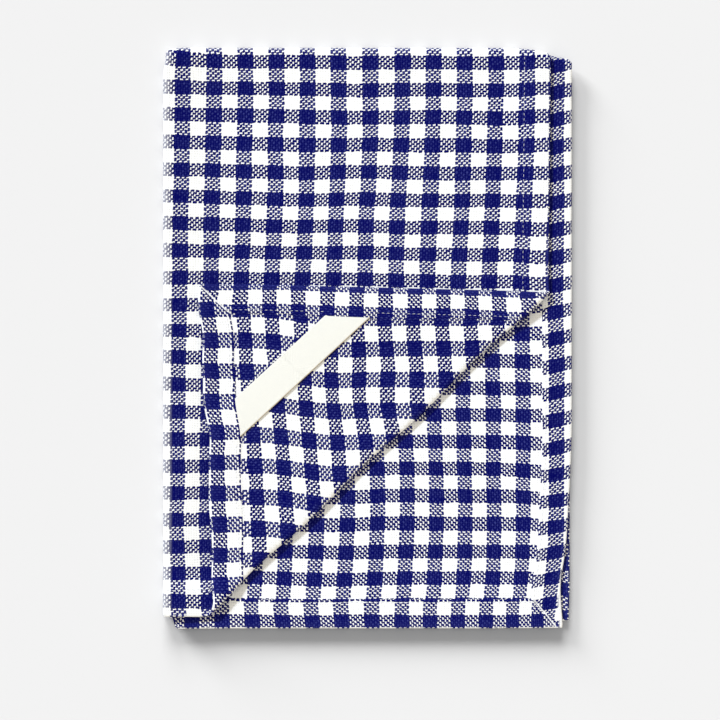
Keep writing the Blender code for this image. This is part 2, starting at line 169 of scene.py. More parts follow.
# Checks on each part of the cloth: the middle of a dark band in X and Y, the slope of the bands,
# and the size of a check where it differs. DEPTH is from a hem's edge, OFF a share of a check.
TOP_CHECKS_X, TOP_CHECKS_Y = 12.2, 169.7
TOP_SLOPE, TOP_SLOPE_X = 0.0105, -113.0
UNDER_CHECKS_X, UNDER_CHECK_WIDTH, UNDER_ACROSS = 94.4, 18.18, 13.0
UNDER_CHECKS_Y, UNDER_CHECK_LENGTH, UNDER_ALONG = 2.75, 16.58, 10.0
UNDER_FROM_U = (4.0, 40.0)
TURNED_CHECKS_X, TURNED_CHECK_LENGTH, TURNED_ALONG = -74.9, 17.29, 19.0
TURNED_CHECKS_Y, TURNED_CHECK_WIDTH, TURNED_ACROSS = -1.8, 19.12, 10.0
TURNED_SLOPE, TURNED_RISE, TURNED_RISE_X = 0.075, 4.9, (-68.7, -13.7)
TURNED_LEAD, TURNED_LEAD_LEAST, TURNED_LEAD_MOST, TURNED_EASE = 0.6, 3.0, 60.0, 4.0
TURNED_FROM_WIDTH = (2.0, 9.0)
HEM_CHECKS_DEPTH, HEM_CHECKS_OFF = 5.0, 0.4
SIDE_TURNED_DEPTH, SIDE_TURNED_WIDTH, SIDE_TURNED_OFF = 8.0, 17.2, 0.5
SIDE_TURNED_X, SIDE_TURNED_LENGTH = -77.7, 17.69
SIDE_UNDER_X, SIDE_UNDER_Y, SIDE_UNDER_LENGTH, SIDE_UNDER_SLOPE = 115.2, 0.5, 16.17, 0.176
END_TURNED_DEPTH, END_TURNED_Y, END_TURNED_WIDTH = 5.2, 17.7, 18.71
END_UNDER_X, END_UNDER_Y, END_UNDER_WIDTH = -107.2, -173.2, 17.87
END_PULL, END_PULL_X, END_PULL_REACH = 2.75, 19.9, 55.0

# Patterns: how far the threads drift over a distance, how they cross, their painted highlight
# and wear, the spacing of the tape's threads, the lengths of fibres, and the paper's grains in 1 mm
THREAD_DRIFTS = ((60.0, 3.0), (3.0, 1.4))
CRIMP, TWIST, YARN_ROUND, DYED_FULLER = 0.32, 0.12, 0.72, 0.4
EDGE_SHEEN_WEAR_STRENGTH, SEAM_CURL_HIGHLIGHT_STRENGTH, SPECKLE = 0.45, 2.4, 1.3
# Painted highlight along the crests of the side fold and the top fold: where the navy turns white,
# and from which height
SIDE_FOLD_HIGHLIGHT_X = (LEFT_X + 6.0, LEFT_X + 0.5)
TOP_FOLD_HIGHLIGHT_Y = (TOP_Y - 2.0, TOP_Y + 0.5)
FOLD_HIGHLIGHT_FROM_Z = (4.0, 9.0)
TAPE_THREADS = (0.7, 0.9)
COTTON_FIBRE, TAPE_FIBRE, THREAD_FIBRE = 0.9, 1.5, 0.6
PAPER_GRAINS = 0.9

# The loop
LOOP_TOP = np.array((-13.9, 11.6))
LOOP_SIDE = np.array((-76.8, -46.4))
LOOP_MIDDLE = (LOOP_TOP + LOOP_SIDE) / 2.0
LOOP_WIDTH = 19.6
LOOP_THICKNESS = 0.7
LOOP_BOW, LOOP_BOW_SHARPNESS = 0.1, 0.7
LOOP_CURL = 0.12
LOOP_REST = 0.12
LOOP_TUCK = 3.0
LOOP_LONGEST, LOOP_HALVINGS = 80.0, 24
LOOP_CELLS, LOOP_LANES, LOOP_EDGE_PLACES = 48, 13, 7
# Painted shadow: a brown line along both of the tape's edges, by distance from its middle
TAPE_EDGE_SHADOW = (LOOP_WIDTH / 2.0 - 0.5, LOOP_WIDTH / 2.0 + 0.1)
TAPE_BULGE = 0.5
BULGE_BESIDE = (LOOP_WIDTH / 2.0 - 1.0, LOOP_WIDTH / 2.0 + 2.0)
BULGE_ALONG = (56.0, 72.0)

# Stitches: their place inside the hem's edge, their least height, their slant in radians, and
# places near the sides and ends of the cloth from which the seams are found
STITCH_INSET = 1.6
STITCH_LOWEST = 0.2
STITCH_SLANT = 0.12
STITCH_SEED = 4
SEAM_CELLS = 360
SEAM_NEAR_U, SEAM_NEAR_L = 200.0, 340.0

# Mesh: places from a fold and from a free edge, and the even cells between them
FOLD_PLACES = (0.0, 0.5, 1.0, 1.5, 2.0, 2.6, 3.4, 4.6, 6.4, 7.4, 8.2, 9.0, 10.2)
TOP_PLACES = (0.0, 1.2, 2.6, 4.4, 6.6)
EDGE_PLACES = (0.95, 2.6, 4.9, 7.2, 9.5, 11.8, 13.8, 15.2, 16.4, 17.2, 17.5, 17.8, 18.1, 18.5,
               19.2, 19.9, 20.8)
OUTER_CELLS, INNER_CELLS = 80, 44
UPPER_CELLS, LOWER_CELLS = 112, 24
TOP_BEND_CELLS, TURN_BEND_CELLS = 14, 9
TURN_CUTS = (-0.4, -0.12, *np.linspace(0.0, 1.0, TURN_BEND_CELLS + 1), 1.12, 1.4)
TURN_CUT_REACH = 12.0
CUT_MERGE = 0.02
RIM_CELLS, RIM_RADIUS = 6, 0.95
PROBE_STEP = 0.05
LEAF, SIDE_HEM, END_HEM = range(3)

# The camera's view: the middle, the side and the height of the square that it frames, in metres,
# and its sensor in millimetres. The ground's half side is in metres.
VIEW_MIDDLE = (-0.00458, -0.01344)
VIEW_SIDE = 0.43992
VIEW_Z = 0.007
SENSOR_SIDE = 36.0
GROUND_HALF = 4.0

# Soft lamps: where each comes from, its width in degrees, its setting, its colour, and whether it
# lights the paper or all else. The paper's lamps lay soft shadows on it. The cloth's are one wide
# from above, one low from the upper left that shades the folds, and a fill from the lower right.
WARM = (1.0, 0.87, 0.59)
COOL = (0.88, 0.94, 1.0)
WHITE = (1.0, 1.0, 1.0)
LAMPS = (
    ("paper top light", (0.0, 0.0, 1.0), 50.0, "paper_strength", WHITE, "paper"),
    ("paper key light", (-0.14, 1.0, 0.5), 27.0, "key_strength", WHITE, "paper"),
    ("paper side light", (-1.0, 1.15, 0.42), 21.0, "side_strength", WHITE, "paper"),
    ("cloth top light", (-0.2, 0.3, 1.0), 70.0, "top_strength", WARM, "cloth"),
    ("cloth low light", (-0.8, 1.0, 0.86), 7.0, "low_strength", COOL, "cloth"),
    ("cloth fill light", (0.8, -1.0, 0.2), 26.0, "fill_strength", WARM, "cloth"),
)


def ramp(value, start, end):
    """Rise smoothly from 0 at start to 1 at end."""
    share = np.clip((value - start) / (end - start), 0.0, 1.0)
    return share * share * (3.0 - 2.0 * share)


def bell(value, reach):
    return np.exp(-(value / reach) ** 2)


def mix(first, second, share):
    return first + (second - first) * share


def unit(vector):
    return vector / np.linalg.norm(vector, axis=-1, keepdims=True)


LOOP_DIRECTION = unit(LOOP_SIDE - LOOP_TOP)


# Free edges of the leaves

def outer_edge_x(leaves, y):
    return leaves["outer_x"] - leaves["outer_taper"] * (TOP_Y - y)


def inner_edge_x(leaves, y):
    pinch = INNER_PINCH * bell(y - INNER_PINCH_Y, INNER_PINCH_REACH)
    draw = ramp(-y, -INNER_DRAW_FROM_Y, -BOTTOM_Y) + pinch
    return leaves["inner_x"] - leaves["inner_draw"] * draw


def outer_edge_y(leaves, x):
    drawn = leaves["end_draw"] * ramp(x, *END_DRAW_X) * (1.0 - ramp(x, *END_DRAW_FADE_X))
    return leaves["outer_y"] - leaves["outer_slant"] * ramp(x, SLANT_FROM_X, RIGHT_X) + drawn


# Heights of the leaves

def swell(gap, x, y):
    """Total rise at a place of the soft swells in one gap between leaves."""
    total = 0.0
    for middle_x, middle_y, length, width, turn, rise in SWELLS[gap]:
        angle = math.radians(turn)
        along = (x - middle_x) * math.cos(angle) + (y - middle_y) * math.sin(angle)
        beside = (y - middle_y) * math.cos(angle) - (x - middle_x) * math.sin(angle)
        total = total + rise * bell(along, length) * bell(beside, width)
    return total


def hem_lift(x, y, edge_x, edge_y):
    """1 where a leaf has a hem, falling smoothly to 0 just inside it."""
    side_line = edge_x - HEM_WIDTH - HEM_STEP
    end_line = edge_y + HEM_WIDTH + HEM_STEP
    beside = ramp(x, side_line - HEM_LEAD, side_line)
    below = ramp(-y, -end_line - HEM_LEAD, -end_line)
    return 1.0 - (1.0 - beside) * (1.0 - below)


def pair_spacing(leaves, x, y):
    """Distance between the middles of an outer leaf and the inner leaf beside it."""
    outer = hem_lift(x, y, outer_edge_x(leaves, BOTTOM_Y), leaves["outer_y"])
    inner = hem_lift(x, y, inner_edge_x(leaves, BOTTOM_Y), leaves["inner_y"])
    puff = SIDE_PUFF * bell(x - LEFT_X, SIDE_PUFF_REACH)
    air = swell("upper", x, y) if leaves is UPPER else 0.0
    return LEAF_PITCH + puff + HEM_RISE * (outer + inner) + air


def middle_spacing(x, y):
    """Distance between the middles of the two inner leaves."""
    return LEAF_PITCH + TOP_PUFF * bell(TOP_Y - y, TOP_PUFF_REACH) + swell("middle", x, y)


def lower_pair(x, y):
    """Height of the middle of the lower pair of leaves, and half the distance between them."""
    half = pair_spacing(LOWER, x, y) / 2.0
    return THICKNESS / 2.0 + half, half


def upper_pair(x, y):
    """Height of the middle of the upper pair of leaves, and half the distance between them."""
    lower, half_lower = lower_pair(x, y)
    half = pair_spacing(UPPER, x, y) / 2.0
    return lower + half_lower + middle_spacing(x, y) + half, half


def top_leaf_height(x, y):
    middle, half = upper_pair(x, y)
    return middle + half


# Folding

def fold_y(x):
    """Y at which the leaves at x start to bend round the top fold."""
    upper, half = upper_pair(x, TOP_Y)
    lower, _ = lower_pair(x, TOP_Y)
    reach = (upper - lower) / 2.0 + half + THICKNESS / 2.0
    side_drop = CORNER_ROUND * bell(x - LEFT_X, CORNER_REACH)
    return TOP_Y - reach - side_drop - CORNER_DROP * ramp(x, *CORNER_DROP_X)


def bend_round_side(u, radius):
    """Distance from the side fold's crest, and the side: 1 on an outer leaf, -1 on an inner."""
    bent = np.abs(u) < radius * math.pi / 2.0
    from_crest = np.where(bent, radius * (1.0 - np.cos(u / radius)),
                          np.abs(u) - radius * (math.pi / 2.0 - 1.0))
    return from_crest, np.where(bent, np.sin(u / radius), np.sign(u))


def side_place_x(from_crest, y):
    """X at a distance from the side fold's crest, which draws in at the top corner."""
    draw = CORNER_ROUND * bell(TOP_Y - y, CORNER_REACH) * bell(from_crest, 2.0 * CORNER_REACH)
    return CREST_X + from_crest + draw


class CornerTurn:
    """The turn of the top leaf's corner about its diagonal fold."""

    def __init__(self):
        self.start = TURN_START
        self.along = unit(TURN_END - TURN_START)
        self.out = np.array((-self.along[1], self.along[0]))
        self.inset = TURN_RADIUS + THICKNESS / 2.0
        self.length = np.linalg.norm(TURN_END - TURN_START)
        corner_y = outer_edge_y(UPPER, outer_edge_x(UPPER, BOTTOM_Y))
        corner = np.array((outer_edge_x(UPPER, corner_y), corner_y)) - TURN_START
        tip = TURNED_TIP - TURN_START
        self.tip_along = tip @ self.along
        self.tip_width = -(tip @ self.out)
        self.bend = TURN_RADIUS * math.pi
        past = corner @ self.out + self.inset - self.bend
        self.stretch = (self.tip_width - self.inset) / past
        self.shear = (tip @ self.along - corner @ self.along) / past

    def distance(self, x, y):
        """Distance past the line where the cloth starts to turn, and the place along it."""
        across = (x - self.start[0]) * self.out[0] + (y - self.start[1]) * self.out[1]
        along = (x - self.start[0]) * self.along[0] + (y - self.start[1]) * self.along[1]
        return across + self.inset, along

    def place(self, across, along):
        x = self.start[0] + self.along[0] * along + self.out[0] * (across - self.inset)
        y = self.start[1] + self.along[1] * along + self.out[1] * (across - self.inset)
        return x, y

    def width(self, along):
        """Width of the turned corner at a place along its fold."""
        rising = along / self.tip_along
        falling = (self.length - along) / (self.length - self.tip_along)
        return self.tip_width * np.clip(np.minimum(rising, falling), 0.0, 1.0)

    def wave(self, across, along):
        """Unevenness of the fold's edge in plan."""
        swing = np.sin(2.0 * math.pi * (along + TURN_WAVE_START) / TURN_WAVE_LENGTH)
        return TURN_WAVE * swing * bell(across - TURN_RADIUS, TURN_WAVE_REACH)

    def nudge(self, reach, x, y):
        """How far the turned corner's left edge, and the cloth beside it, lie off a line."""
        share = (TURNED_TIP[1] - y) / (TURNED_TIP[1] - TURN_END[1])
        edge_x = mix(TURNED_TIP[0], TURN_END[0], share)
        total = sum(inset * bell(y - middle, length) for middle, length, inset in EDGE_NUDGES)
        return total * (1.0 - ramp(x - edge_x, *NUDGE_INSIDE)) * ramp(-reach, *NUDGE_FROM_FOLD)

    def spacing(self, past, x, y):
        """Distance from the middle of the top leaf up to the middle of the turned corner."""
        settled = LEAF_PITCH + swell("turned", x, y)
        return settled + (2.0 * TURN_RADIUS - LEAF_PITCH) * bell(past, TURN_SETTLE)

    def turned_plan(self, x, y):
        """Plan place that a flat place beyond the fold has once it is turned back."""
        across, along = self.distance(x, y)
        past = across - self.bend
        return self.place(-self.stretch * past, along + self.shear * past)

    def flat_plan(self, x, y):
        """The place of the top leaf that the turned corner shows at x and y."""
        across, along = self.distance(x, y)
        past = -across / self.stretch
        return self.place(past + self.bend, along - self.shear * past)

    def height(self, x, y):
        """Height of the turned corner's middle at x and y."""
        across, _ = self.distance(x, y)
        return top_leaf_height(x, y) + self.spacing(-across / self.stretch, x, y)

    def lay(self, x, y):
        """Where places of the top leaf lie once the corner is turned back."""
        across, along = self.distance(x, y)
        angle = np.clip(np.maximum(across, 0.0) / TURN_RADIUS, 0.0, math.pi)
        past = np.maximum(across - self.bend, 0.0)
        beyond = across > self.bend
        bent = (across > 0.0) & ~beyond
        reach = np.where(beyond, -self.stretch * past,
                         np.where(bent, TURN_RADIUS * np.sin(angle), across))
        plan_x, plan_y = self.place(reach, along + self.shear * past)
        wave = self.wave(reach, along)
        plan_x, plan_y = plan_x + wave * self.out[0], plan_y + wave * self.out[1]
        plan_x = plan_x + np.where(beyond, self.nudge(reach, plan_x, plan_y), 0.0)
        foot_x, foot_y = self.place(0.0, along)
        ease = swell("turned", plan_x, plan_y) * np.clip(across / self.bend, 0.0, 1.0) ** 2
        bent_z = top_leaf_height(foot_x, foot_y) + TURN_RADIUS * (1.0 - np.cos(angle)) + ease
        flat_z = top_leaf_height(x, y)
        over_z = top_leaf_height(plan_x, plan_y) + self.spacing(past, plan_x, plan_y)
        return plan_x, plan_y, np.where(beyond, over_z, np.where(bent, bent_z, flat_z))


TURN = CornerTurn()


def lay_cloth(u, l):
    """Where the middle of the cloth lies, for places on the flat cloth."""
    is_lower = l > TOP_BEND / 2.0
    guess_y = np.minimum(np.where(is_lower, TOP_Y + TOP_BEND - l, TOP_Y + l), TOP_Y)
    radius = np.where(is_lower, pair_spacing(LOWER, LEFT_X, guess_y),
                      pair_spacing(UPPER, LEFT_X, guess_y)) / 2.0
    from_crest, side = bend_round_side(u, radius)
    x = side_place_x(from_crest, guess_y)
    start_y = fold_y(x)
    y = np.where(l > TOP_BEND, start_y - (l - TOP_BEND), np.where(l < 0.0, start_y + l, start_y))
    upper, half_upper = upper_pair(x, y)
    lower, half_lower = lower_pair(x, y)
    z = np.where(is_lower, lower - side * half_lower, upper + side * half_upper)
    bent = (l > 0.0) & (l < TOP_BEND)
    angle = math.pi * l / TOP_BEND
    half = mix(half_upper, half_lower, ramp(l, 0.0, TOP_BEND))
    reach = (upper - lower) / 2.0 + side * half
    squeeze = EDGE_SQUEEZE * ramp(x, *EDGE_SQUEEZE_X) * np.maximum(side, 0.0)
    y = np.where(bent, start_y + (reach - squeeze) * np.sin(angle), y)
    z = np.where(bent, (upper + lower) / 2.0 + reach * np.cos(angle), z)
    turning = (u > 0.0) & (l < 0.0) & (TURN.distance(x, y)[0] > -2.0 * TURN_WAVE_REACH)
    return np.stack([np.where(turning, turned, plain)
                     for turned, plain in zip(TURN.lay(x, y), (x, y, z))], axis=-1)


def cloth_normal(u, l):
    """Direction of the cloth's right side."""
    along_u = lay_cloth(u + PROBE_STEP, l) - lay_cloth(u - PROBE_STEP, l)
    along_l = lay_cloth(u, l + PROBE_STEP) - lay_cloth(u, l - PROBE_STEP)
    return unit(np.cross(along_u, along_l))


# The flat cloth

def flat_from_plan(x, y):
    """The place on the flat cloth of a plan position on an upper leaf, as from the outer one."""
    return x - CREST_X + SIDE_WRAP, y - fold_y(x)


def plan_from_flat(u, l):
    x = np.abs(u) + CREST_X - SIDE_WRAP
    return x, l + fold_y(x)


def flat_width(u, l):
    """Width of the leaf that holds a place, from the side fold to its free edge."""
    lower_share = ramp(l, 0.0, TOP_BEND)
    y = TOP_Y - np.abs(l - TOP_BEND / 2.0)
    outer = mix(outer_edge_x(UPPER, y), outer_edge_x(LOWER, y), lower_share)
    inner = mix(inner_edge_x(UPPER, y), inner_edge_x(LOWER, y), lower_share)
    tuck = CORNER_ROUND * np.sin(math.pi * np.clip(l / TOP_BEND, 0.0, 1.0))
    return flat_from_plan(np.where(u >= 0.0, outer, inner) - tuck, 0.0)[0]


def flat_length(u, leaves):
    """Length of a leaf, from the top fold to its end hem's edge, at a place across it."""
    x = CREST_X + np.abs(u)
    tuck = leaves["end_tuck"] * bell(u, END_TUCK_REACH)
    edge_y = mix(outer_edge_y(leaves, x), leaves["inner_y"], ramp(-u, *END_WRAP_U))
    return fold_y(x) - edge_y - tuck


def end_place(u, leaves, depth):
    """l at a depth inside an end hem's edge."""
    length = flat_length(u, leaves)
    return depth - length if leaves is UPPER else TOP_BEND + length - depth


def edge_distances(u, l):
    """Distances to the nearest side edge and to the nearest end edge of the flat cloth."""
    from_end = np.where(l < TOP_BEND / 2.0, flat_length(u, UPPER) + l,
                        flat_length(u, LOWER) - (l - TOP_BEND))
    return flat_width(u, l) - np.abs(u), from_end


def hem_depths(u, l):
    """The same distances, less what each hem gains where it was turned over a little wider."""
    from_side, from_end = edge_distances(u, l)
    side_gain, end_gain = (most * bell(place - middle, reach)
                           for place, (most, middle, reach) in zip((l, u), HEM_WIDER))
    return (from_side - side_gain * ramp(u, *SIDE_WIDER_FROM_U),
            from_end - end_gain * ramp(-l, *END_WIDER_FROM_L))


def hem_share(u, l):
    """1 on the hem and 0 inside it, with a soft step between them."""
    return 1.0 - ramp(np.minimum(*hem_depths(u, l)), *HEM_SOFT)


# Where the checks fall. A count is whole in the middle of a dark band: across counts the bands
# beside each other over the cloth's width, and along counts those down its length.

def unpulled(leaf, x, y):
    """Where the checks at a place would be if nothing pulled them out of line."""
    for middle_x, middle_y, reach_x, reach_y, to_x, to_y in PULLS[leaf]:
        share = bell(x - middle_x, reach_x) * bell(y - middle_y, reach_y)
        x, y = x - to_x * share, y - to_y * share
    return x, y


def leaf_checks(u, l):
    """Counts of checks across and along at places on the leaves."""
    x, y = plan_from_flat(u, l)
    top_x, top_y = unpulled("top", x, y)
    across = (u + top_x - x - TOP_CHECKS_X) / CHECK_WIDTH
    along = (TOP_CHECKS_Y - TOP_SLOPE * (x - TOP_SLOPE_X) - top_y) / CHECK_LENGTH
    under_x, under_y = unpulled("under", x, y)
    lean = LOWER_LEAN * ramp(l, TOP_BEND, TOP_BEND + LOWER_LEAN_REACH)
    under = ramp(-u, *UNDER_FROM_U)
    under_across = (UNDER_CHECKS_X + lean - under_x) / UNDER_CHECK_WIDTH - UNDER_ACROSS
    under_along = (UNDER_CHECKS_Y - under_y) / UNDER_CHECK_LENGTH + UNDER_ALONG
    across, along = mix(across, under_across, under), mix(along, under_along, under)
    past, place = TURN.distance(x, y)
    width = TURN.width(place)
    lead = np.clip(TURNED_LEAD * width, TURNED_LEAD_LEAST, TURNED_LEAD_MOST)
    turned = np.where((u > 0.0) & (l < 0.0), ramp(past, -lead - TURNED_EASE, -TURNED_EASE), 0.0)
    turned = turned * ramp(width, *TURNED_FROM_WIDTH)
    turned_x, turned_y = unpulled("turned", *TURN.turned_plan(x, y))
    rise = turned_y - TURNED_CHECKS_Y + TURNED_RISE * ramp(turned_x, *TURNED_RISE_X)
    turned_across = TURNED_ACROSS + rise / TURNED_CHECK_WIDTH
    sloped = turned_x - TURNED_CHECKS_X + TURNED_SLOPE * (turned_y - TURNED_CHECKS_Y)
    turned_along = TURNED_ALONG - sloped / TURNED_CHECK_LENGTH
    return mix(across, turned_across, turned), mix(along, turned_along, turned)


def hem_checks(u, l, across, along):
    """Counts on the wrong side of the side hems and of the end hems."""
    x, y = plan_from_flat(u, l)
    turned_x, turned_y = unpulled("turned", *TURN.turned_plan(x, y))
    x, y = unpulled("under", x, y)
    from_side, from_end = edge_distances(u, l)
    is_upper = l < TOP_BEND / 2.0
    sides = (is_upper & (u > 0.0), is_upper & (u < 0.0))
    sloped = SIDE_UNDER_SLOPE * (x - SIDE_UNDER_X) - y - SIDE_UNDER_Y
    eased = x - END_UNDER_X - END_PULL * bell(x - END_PULL_X, END_PULL_REACH)
    side_hem = (
        np.select(sides, ((from_side - SIDE_TURNED_DEPTH) / SIDE_TURNED_WIDTH + SIDE_TURNED_OFF,
                          (x - SIDE_UNDER_X) / CHECK_WIDTH),
                  (from_side - HEM_CHECKS_DEPTH) / CHECK_WIDTH),
        np.select(sides, (-(turned_x - SIDE_TURNED_X) / SIDE_TURNED_LENGTH,
                          sloped / SIDE_UNDER_LENGTH), along + HEM_CHECKS_OFF))
    end_hem = (
        np.select(sides, ((turned_y - END_TURNED_Y) / END_TURNED_WIDTH, eased / END_UNDER_WIDTH),
                  across + HEM_CHECKS_OFF),
        np.select(sides, ((from_end - END_TURNED_DEPTH) / CHECK_LENGTH,
                          (y - END_UNDER_Y) / CHECK_LENGTH),
                  (from_end - HEM_CHECKS_DEPTH) / CHECK_LENGTH))
    return side_hem, end_hem


def weave_places(u, l, region):
    """Places in the pattern, for places on the cloth and the region that each belongs to."""
    leaf = leaf_checks(u, l)
    across, along = zip(leaf, *hem_checks(u, l, *leaf))
    return np.stack([np.choose(region, across) * CHECK_WIDTH,
                     np.choose(region, along) * CHECK_LENGTH], axis=-1)


def mitres():
    """Each corner of the flat cloth, and the direction across the seam of its hem."""
    found = []
    for across in (-1.0, 1.0):
        for down, leaves in ((-1.0, UPPER), (1.0, LOWER)):
            l = end_place(np.array([across * MITRE_NEAR_U]), leaves, 0.0)
            u = across * flat_width(np.array([across]), l)
            found.append((u[0], l[0], unit(np.array((down, -across)))))
    return found


def mitre_share(u, l):
    """1 on the seam in a corner's hem, falling to 0 beside it."""
    total = 0.0
    for corner_u, corner_l, turn in mitres():
        beside = np.abs((u - corner_u) * turn[0] + (l - corner_l) * turn[1])
        near = np.hypot(u - corner_u, l - corner_l) < MITRE_REACH
        total = total + np.where(near, 1.0 - ramp(beside, 0.0, MITRE_WIDTH), 0.0)
    return total * hem_share(u, l)


def painted_seam_curl_share(u, l):
    """1 on painted highlights that turn the navy white: on the corners' seams, and along the inner
    leaf's side edge near its end, where the real edge curls up.
    """
    from_side, _ = edge_distances(u, l)
    _, y = plan_from_flat(u, l)
    curled_edge_highlight = (1.0 - ramp(from_side, *CURL_WIDTH)) * ramp(-y, *CURL_BELOW)
    return mitre_share(u, l) + np.where((u < 0.0) & (l < 0.0), curled_edge_highlight, 0.0)


# The cloth's mesh

def leaf_places(near_fold, lengths, cells):
    """Places from a fold to a free edge, one row for each length."""
    first = np.broadcast_to(near_fold, (len(lengths), len(near_fold)))
    inside = lengths[:, None] - EDGE_PLACES[-1] - near_fold[-1]
    even = near_fold[-1] + inside * np.arange(1, cells) / cells
    edge = lengths[:, None] - np.array(EDGE_PLACES[::-1])
    return np.hstack([first, even, edge])


def flat_grid():
    """Rows of places (u, l) on the flat cloth."""
    nominal = np.array([TOP_Y - BOTTOM_Y])
    upper = leaf_places(TOP_PLACES, nominal, UPPER_CELLS)[0]
    lower = leaf_places(TOP_PLACES, nominal, LOWER_CELLS)[0]
    bend = TOP_BEND * np.arange(1, TOP_BEND_CELLS) / TOP_BEND_CELLS
    guess = np.concatenate([-upper[::-1], bend, TOP_BEND + lower])
    outer, inner = (leaf_places(FOLD_PLACES, flat_width(side * np.ones_like(guess), guess), cells)
                    for side, cells in ((1.0, OUTER_CELLS), (-1.0, INNER_CELLS)))
    grid_u = np.hstack([-inner[:, :0:-1], outer])
    grid_l = np.empty_like(grid_u)
    for row, row_u in enumerate(grid_u):
        below_bend = row - len(upper) - len(bend)
        if row < len(upper):
            places = leaf_places(TOP_PLACES, flat_length(row_u, UPPER), UPPER_CELLS)
            grid_l[row] = -places[:, len(upper) - 1 - row]
        elif below_bend < 0:
            grid_l[row] = guess[row]
        else:
            places = leaf_places(TOP_PLACES, flat_length(row_u, LOWER), LOWER_CELLS)
            grid_l[row] = TOP_BEND + places[:, below_bend]
    return grid_u, grid_l


def flat_mesh():
    """The flat cloth with u and l as its X and Y, cut along its mitres and the turned corner."""
    grid_u, grid_l = flat_grid()
    rows, columns = grid_u.shape
    flat = bmesh.new()
    verts = [[flat.verts.new((u, l, 0.0)) for u, l in zip(*row)] for row in zip(grid_u, grid_l)]
    for row in range(rows - 1):
        for column in range(columns - 1):
            a, b = verts[row][column], verts[row][column + 1]
            c, d = verts[row + 1][column + 1], verts[row + 1][column]
            from_end = min(row, rows - 2 - row)
            from_side = min(column, columns - 2 - column)
            corners = [(a, b, c, d)]
            if from_end == from_side < len(EDGE_PLACES) - 1:
                falling = (row < rows / 2) == (column < columns / 2)
                corners = [(a, b, c), (a, c, d)] if falling else [(a, b, d), (b, c, d)]
            for corner in corners:
                flat.faces.new(corner)
    for share in TURN_CUTS:
        cut_along_turn(flat, TURN.bend * share)
    cut_beside_mitres(flat)
    return flat


def cut(flat, faces, place, direction):
    """Add edges to faces along a line at right angles to a direction, and return the faces."""
    geometry = set(faces)
    for face in faces:
        geometry.update(face.edges)
        geometry.update(face.verts)
    left = bmesh.ops.bisect_plane(flat, geom=list(geometry), dist=CUT_MERGE,
                                  plane_co=(*place, 0.0), plane_no=(*direction, 0.0))
    return [part for part in left["geom"] if isinstance(part, bmesh.types.BMFace)]


def cut_beside_mitres(flat):
    """Add edges on both sides of the seam in each corner, where two hems meet."""
    faces = list(flat.faces)
    centres = np.array([face.calc_center_median().xy[:] for face in faces])
    for u, l, turn in mitres():
        near = np.hypot(centres[:, 0] - u, centres[:, 1] - l) < MITRE_REACH
        beside = np.abs((centres - (u, l)) @ turn) < MITRE_CUT_WIDTH
        chosen = [face for face, wanted in zip(faces, near & beside) if wanted]
        for offset in (-MITRE_WIDTH, 0.0, MITRE_WIDTH):
            chosen = cut(flat, chosen, turn * offset + (u, l), turn)


def cut_along_turn(flat, across):
    """Add edges along the diagonal fold, at a distance past where the cloth starts to turn."""
    shift = TURN_START - flat_from_plan(*TURN_START)
    chosen = []
    for face in flat.faces:
        place = face.verts[0].co
        if place.x >= 0.0 and place.y <= -FOLD_PLACES[-1]:
            past, _ = TURN.distance(place.x + shift[0], place.y + shift[1])
            if abs(past - across) < TURN_CUT_REACH:
                chosen.append(face)
    cut(flat, chosen, flat_from_plan(*TURN.place(across, 0.0)), TURN.out)


def edge_spans(flat):
    """The two points of each edge on the flat cloth's rim, in order round it."""
    loops = [edge.link_loops[0] for edge in flat.edges if edge.is_boundary]
    return [(loop.vert, loop.link_loop_next.vert) for loop in loops]


def rim_steps(spans):
    """For each place on the flat cloth's rim, the direction out of the cloth there."""
    outward = {}
    for ends in spans:
        span = ends[1].co - ends[0].co
        for vertex in ends:
            outward.setdefault(vertex.index, Vector((0.0, 0.0)))
            outward[vertex.index] += Vector((span.y, -span.x)).normalized()
    return {index: direction.normalized() for index, direction in outward.items()}


def tape_bulge(x, y):
    """Share of the hems' rise over the tape's ends."""
    past_x, past_y = x - LOOP_MIDDLE[0], y - LOOP_MIDDLE[1]
    beside = np.abs(past_x * -LOOP_DIRECTION[1] + past_y * LOOP_DIRECTION[0])
    along = np.abs(past_x * LOOP_DIRECTION[0] + past_y * LOOP_DIRECTION[1])
    return (1.0 - ramp(beside, *BULGE_BESIDE)) * (1.0 - ramp(along, *BULGE_ALONG))


def cloth_points(places, rim, rim_out):
    """Rows of points on the cloth's two sides and round its rim, and their flat places."""
    u, l = places.T
    hem = hem_share(u, l)
    middle, normal = lay_cloth(u, l), cloth_normal(u, l)
    turned = (u > 0.0) & (l < 0.0) & (TURN.distance(*plan_from_flat(u, l))[0] > TURN.bend)
    depth = THICKNESS / 2.0 + HEM_SHOWN * hem - MITRE_DEPTH * mitre_share(u, l)
    depth += np.where(turned, TAPE_BULGE * tape_bulge(middle[:, 0], middle[:, 1]) * hem, 0.0)
    points = [middle + normal * THICKNESS / 2.0, middle - normal * depth[:, None]]
    flat_places = [places, places]
    half = (THICKNESS + HEM_SHOWN) / 2.0
    for step in range(1, RIM_CELLS):
        angle = math.pi * step / RIM_CELLS
        around = (places[rim] + rim_out * RIM_RADIUS * math.sin(angle)).T
        offset = half * math.cos(angle) - HEM_SHOWN / 2.0
        points.append(lay_cloth(*around) + cloth_normal(*around) * offset)
        flat_places.append(places[rim] + rim_out * RIM_RADIUS * angle / math.pi * 2.0)
    return points, np.vstack(flat_places)


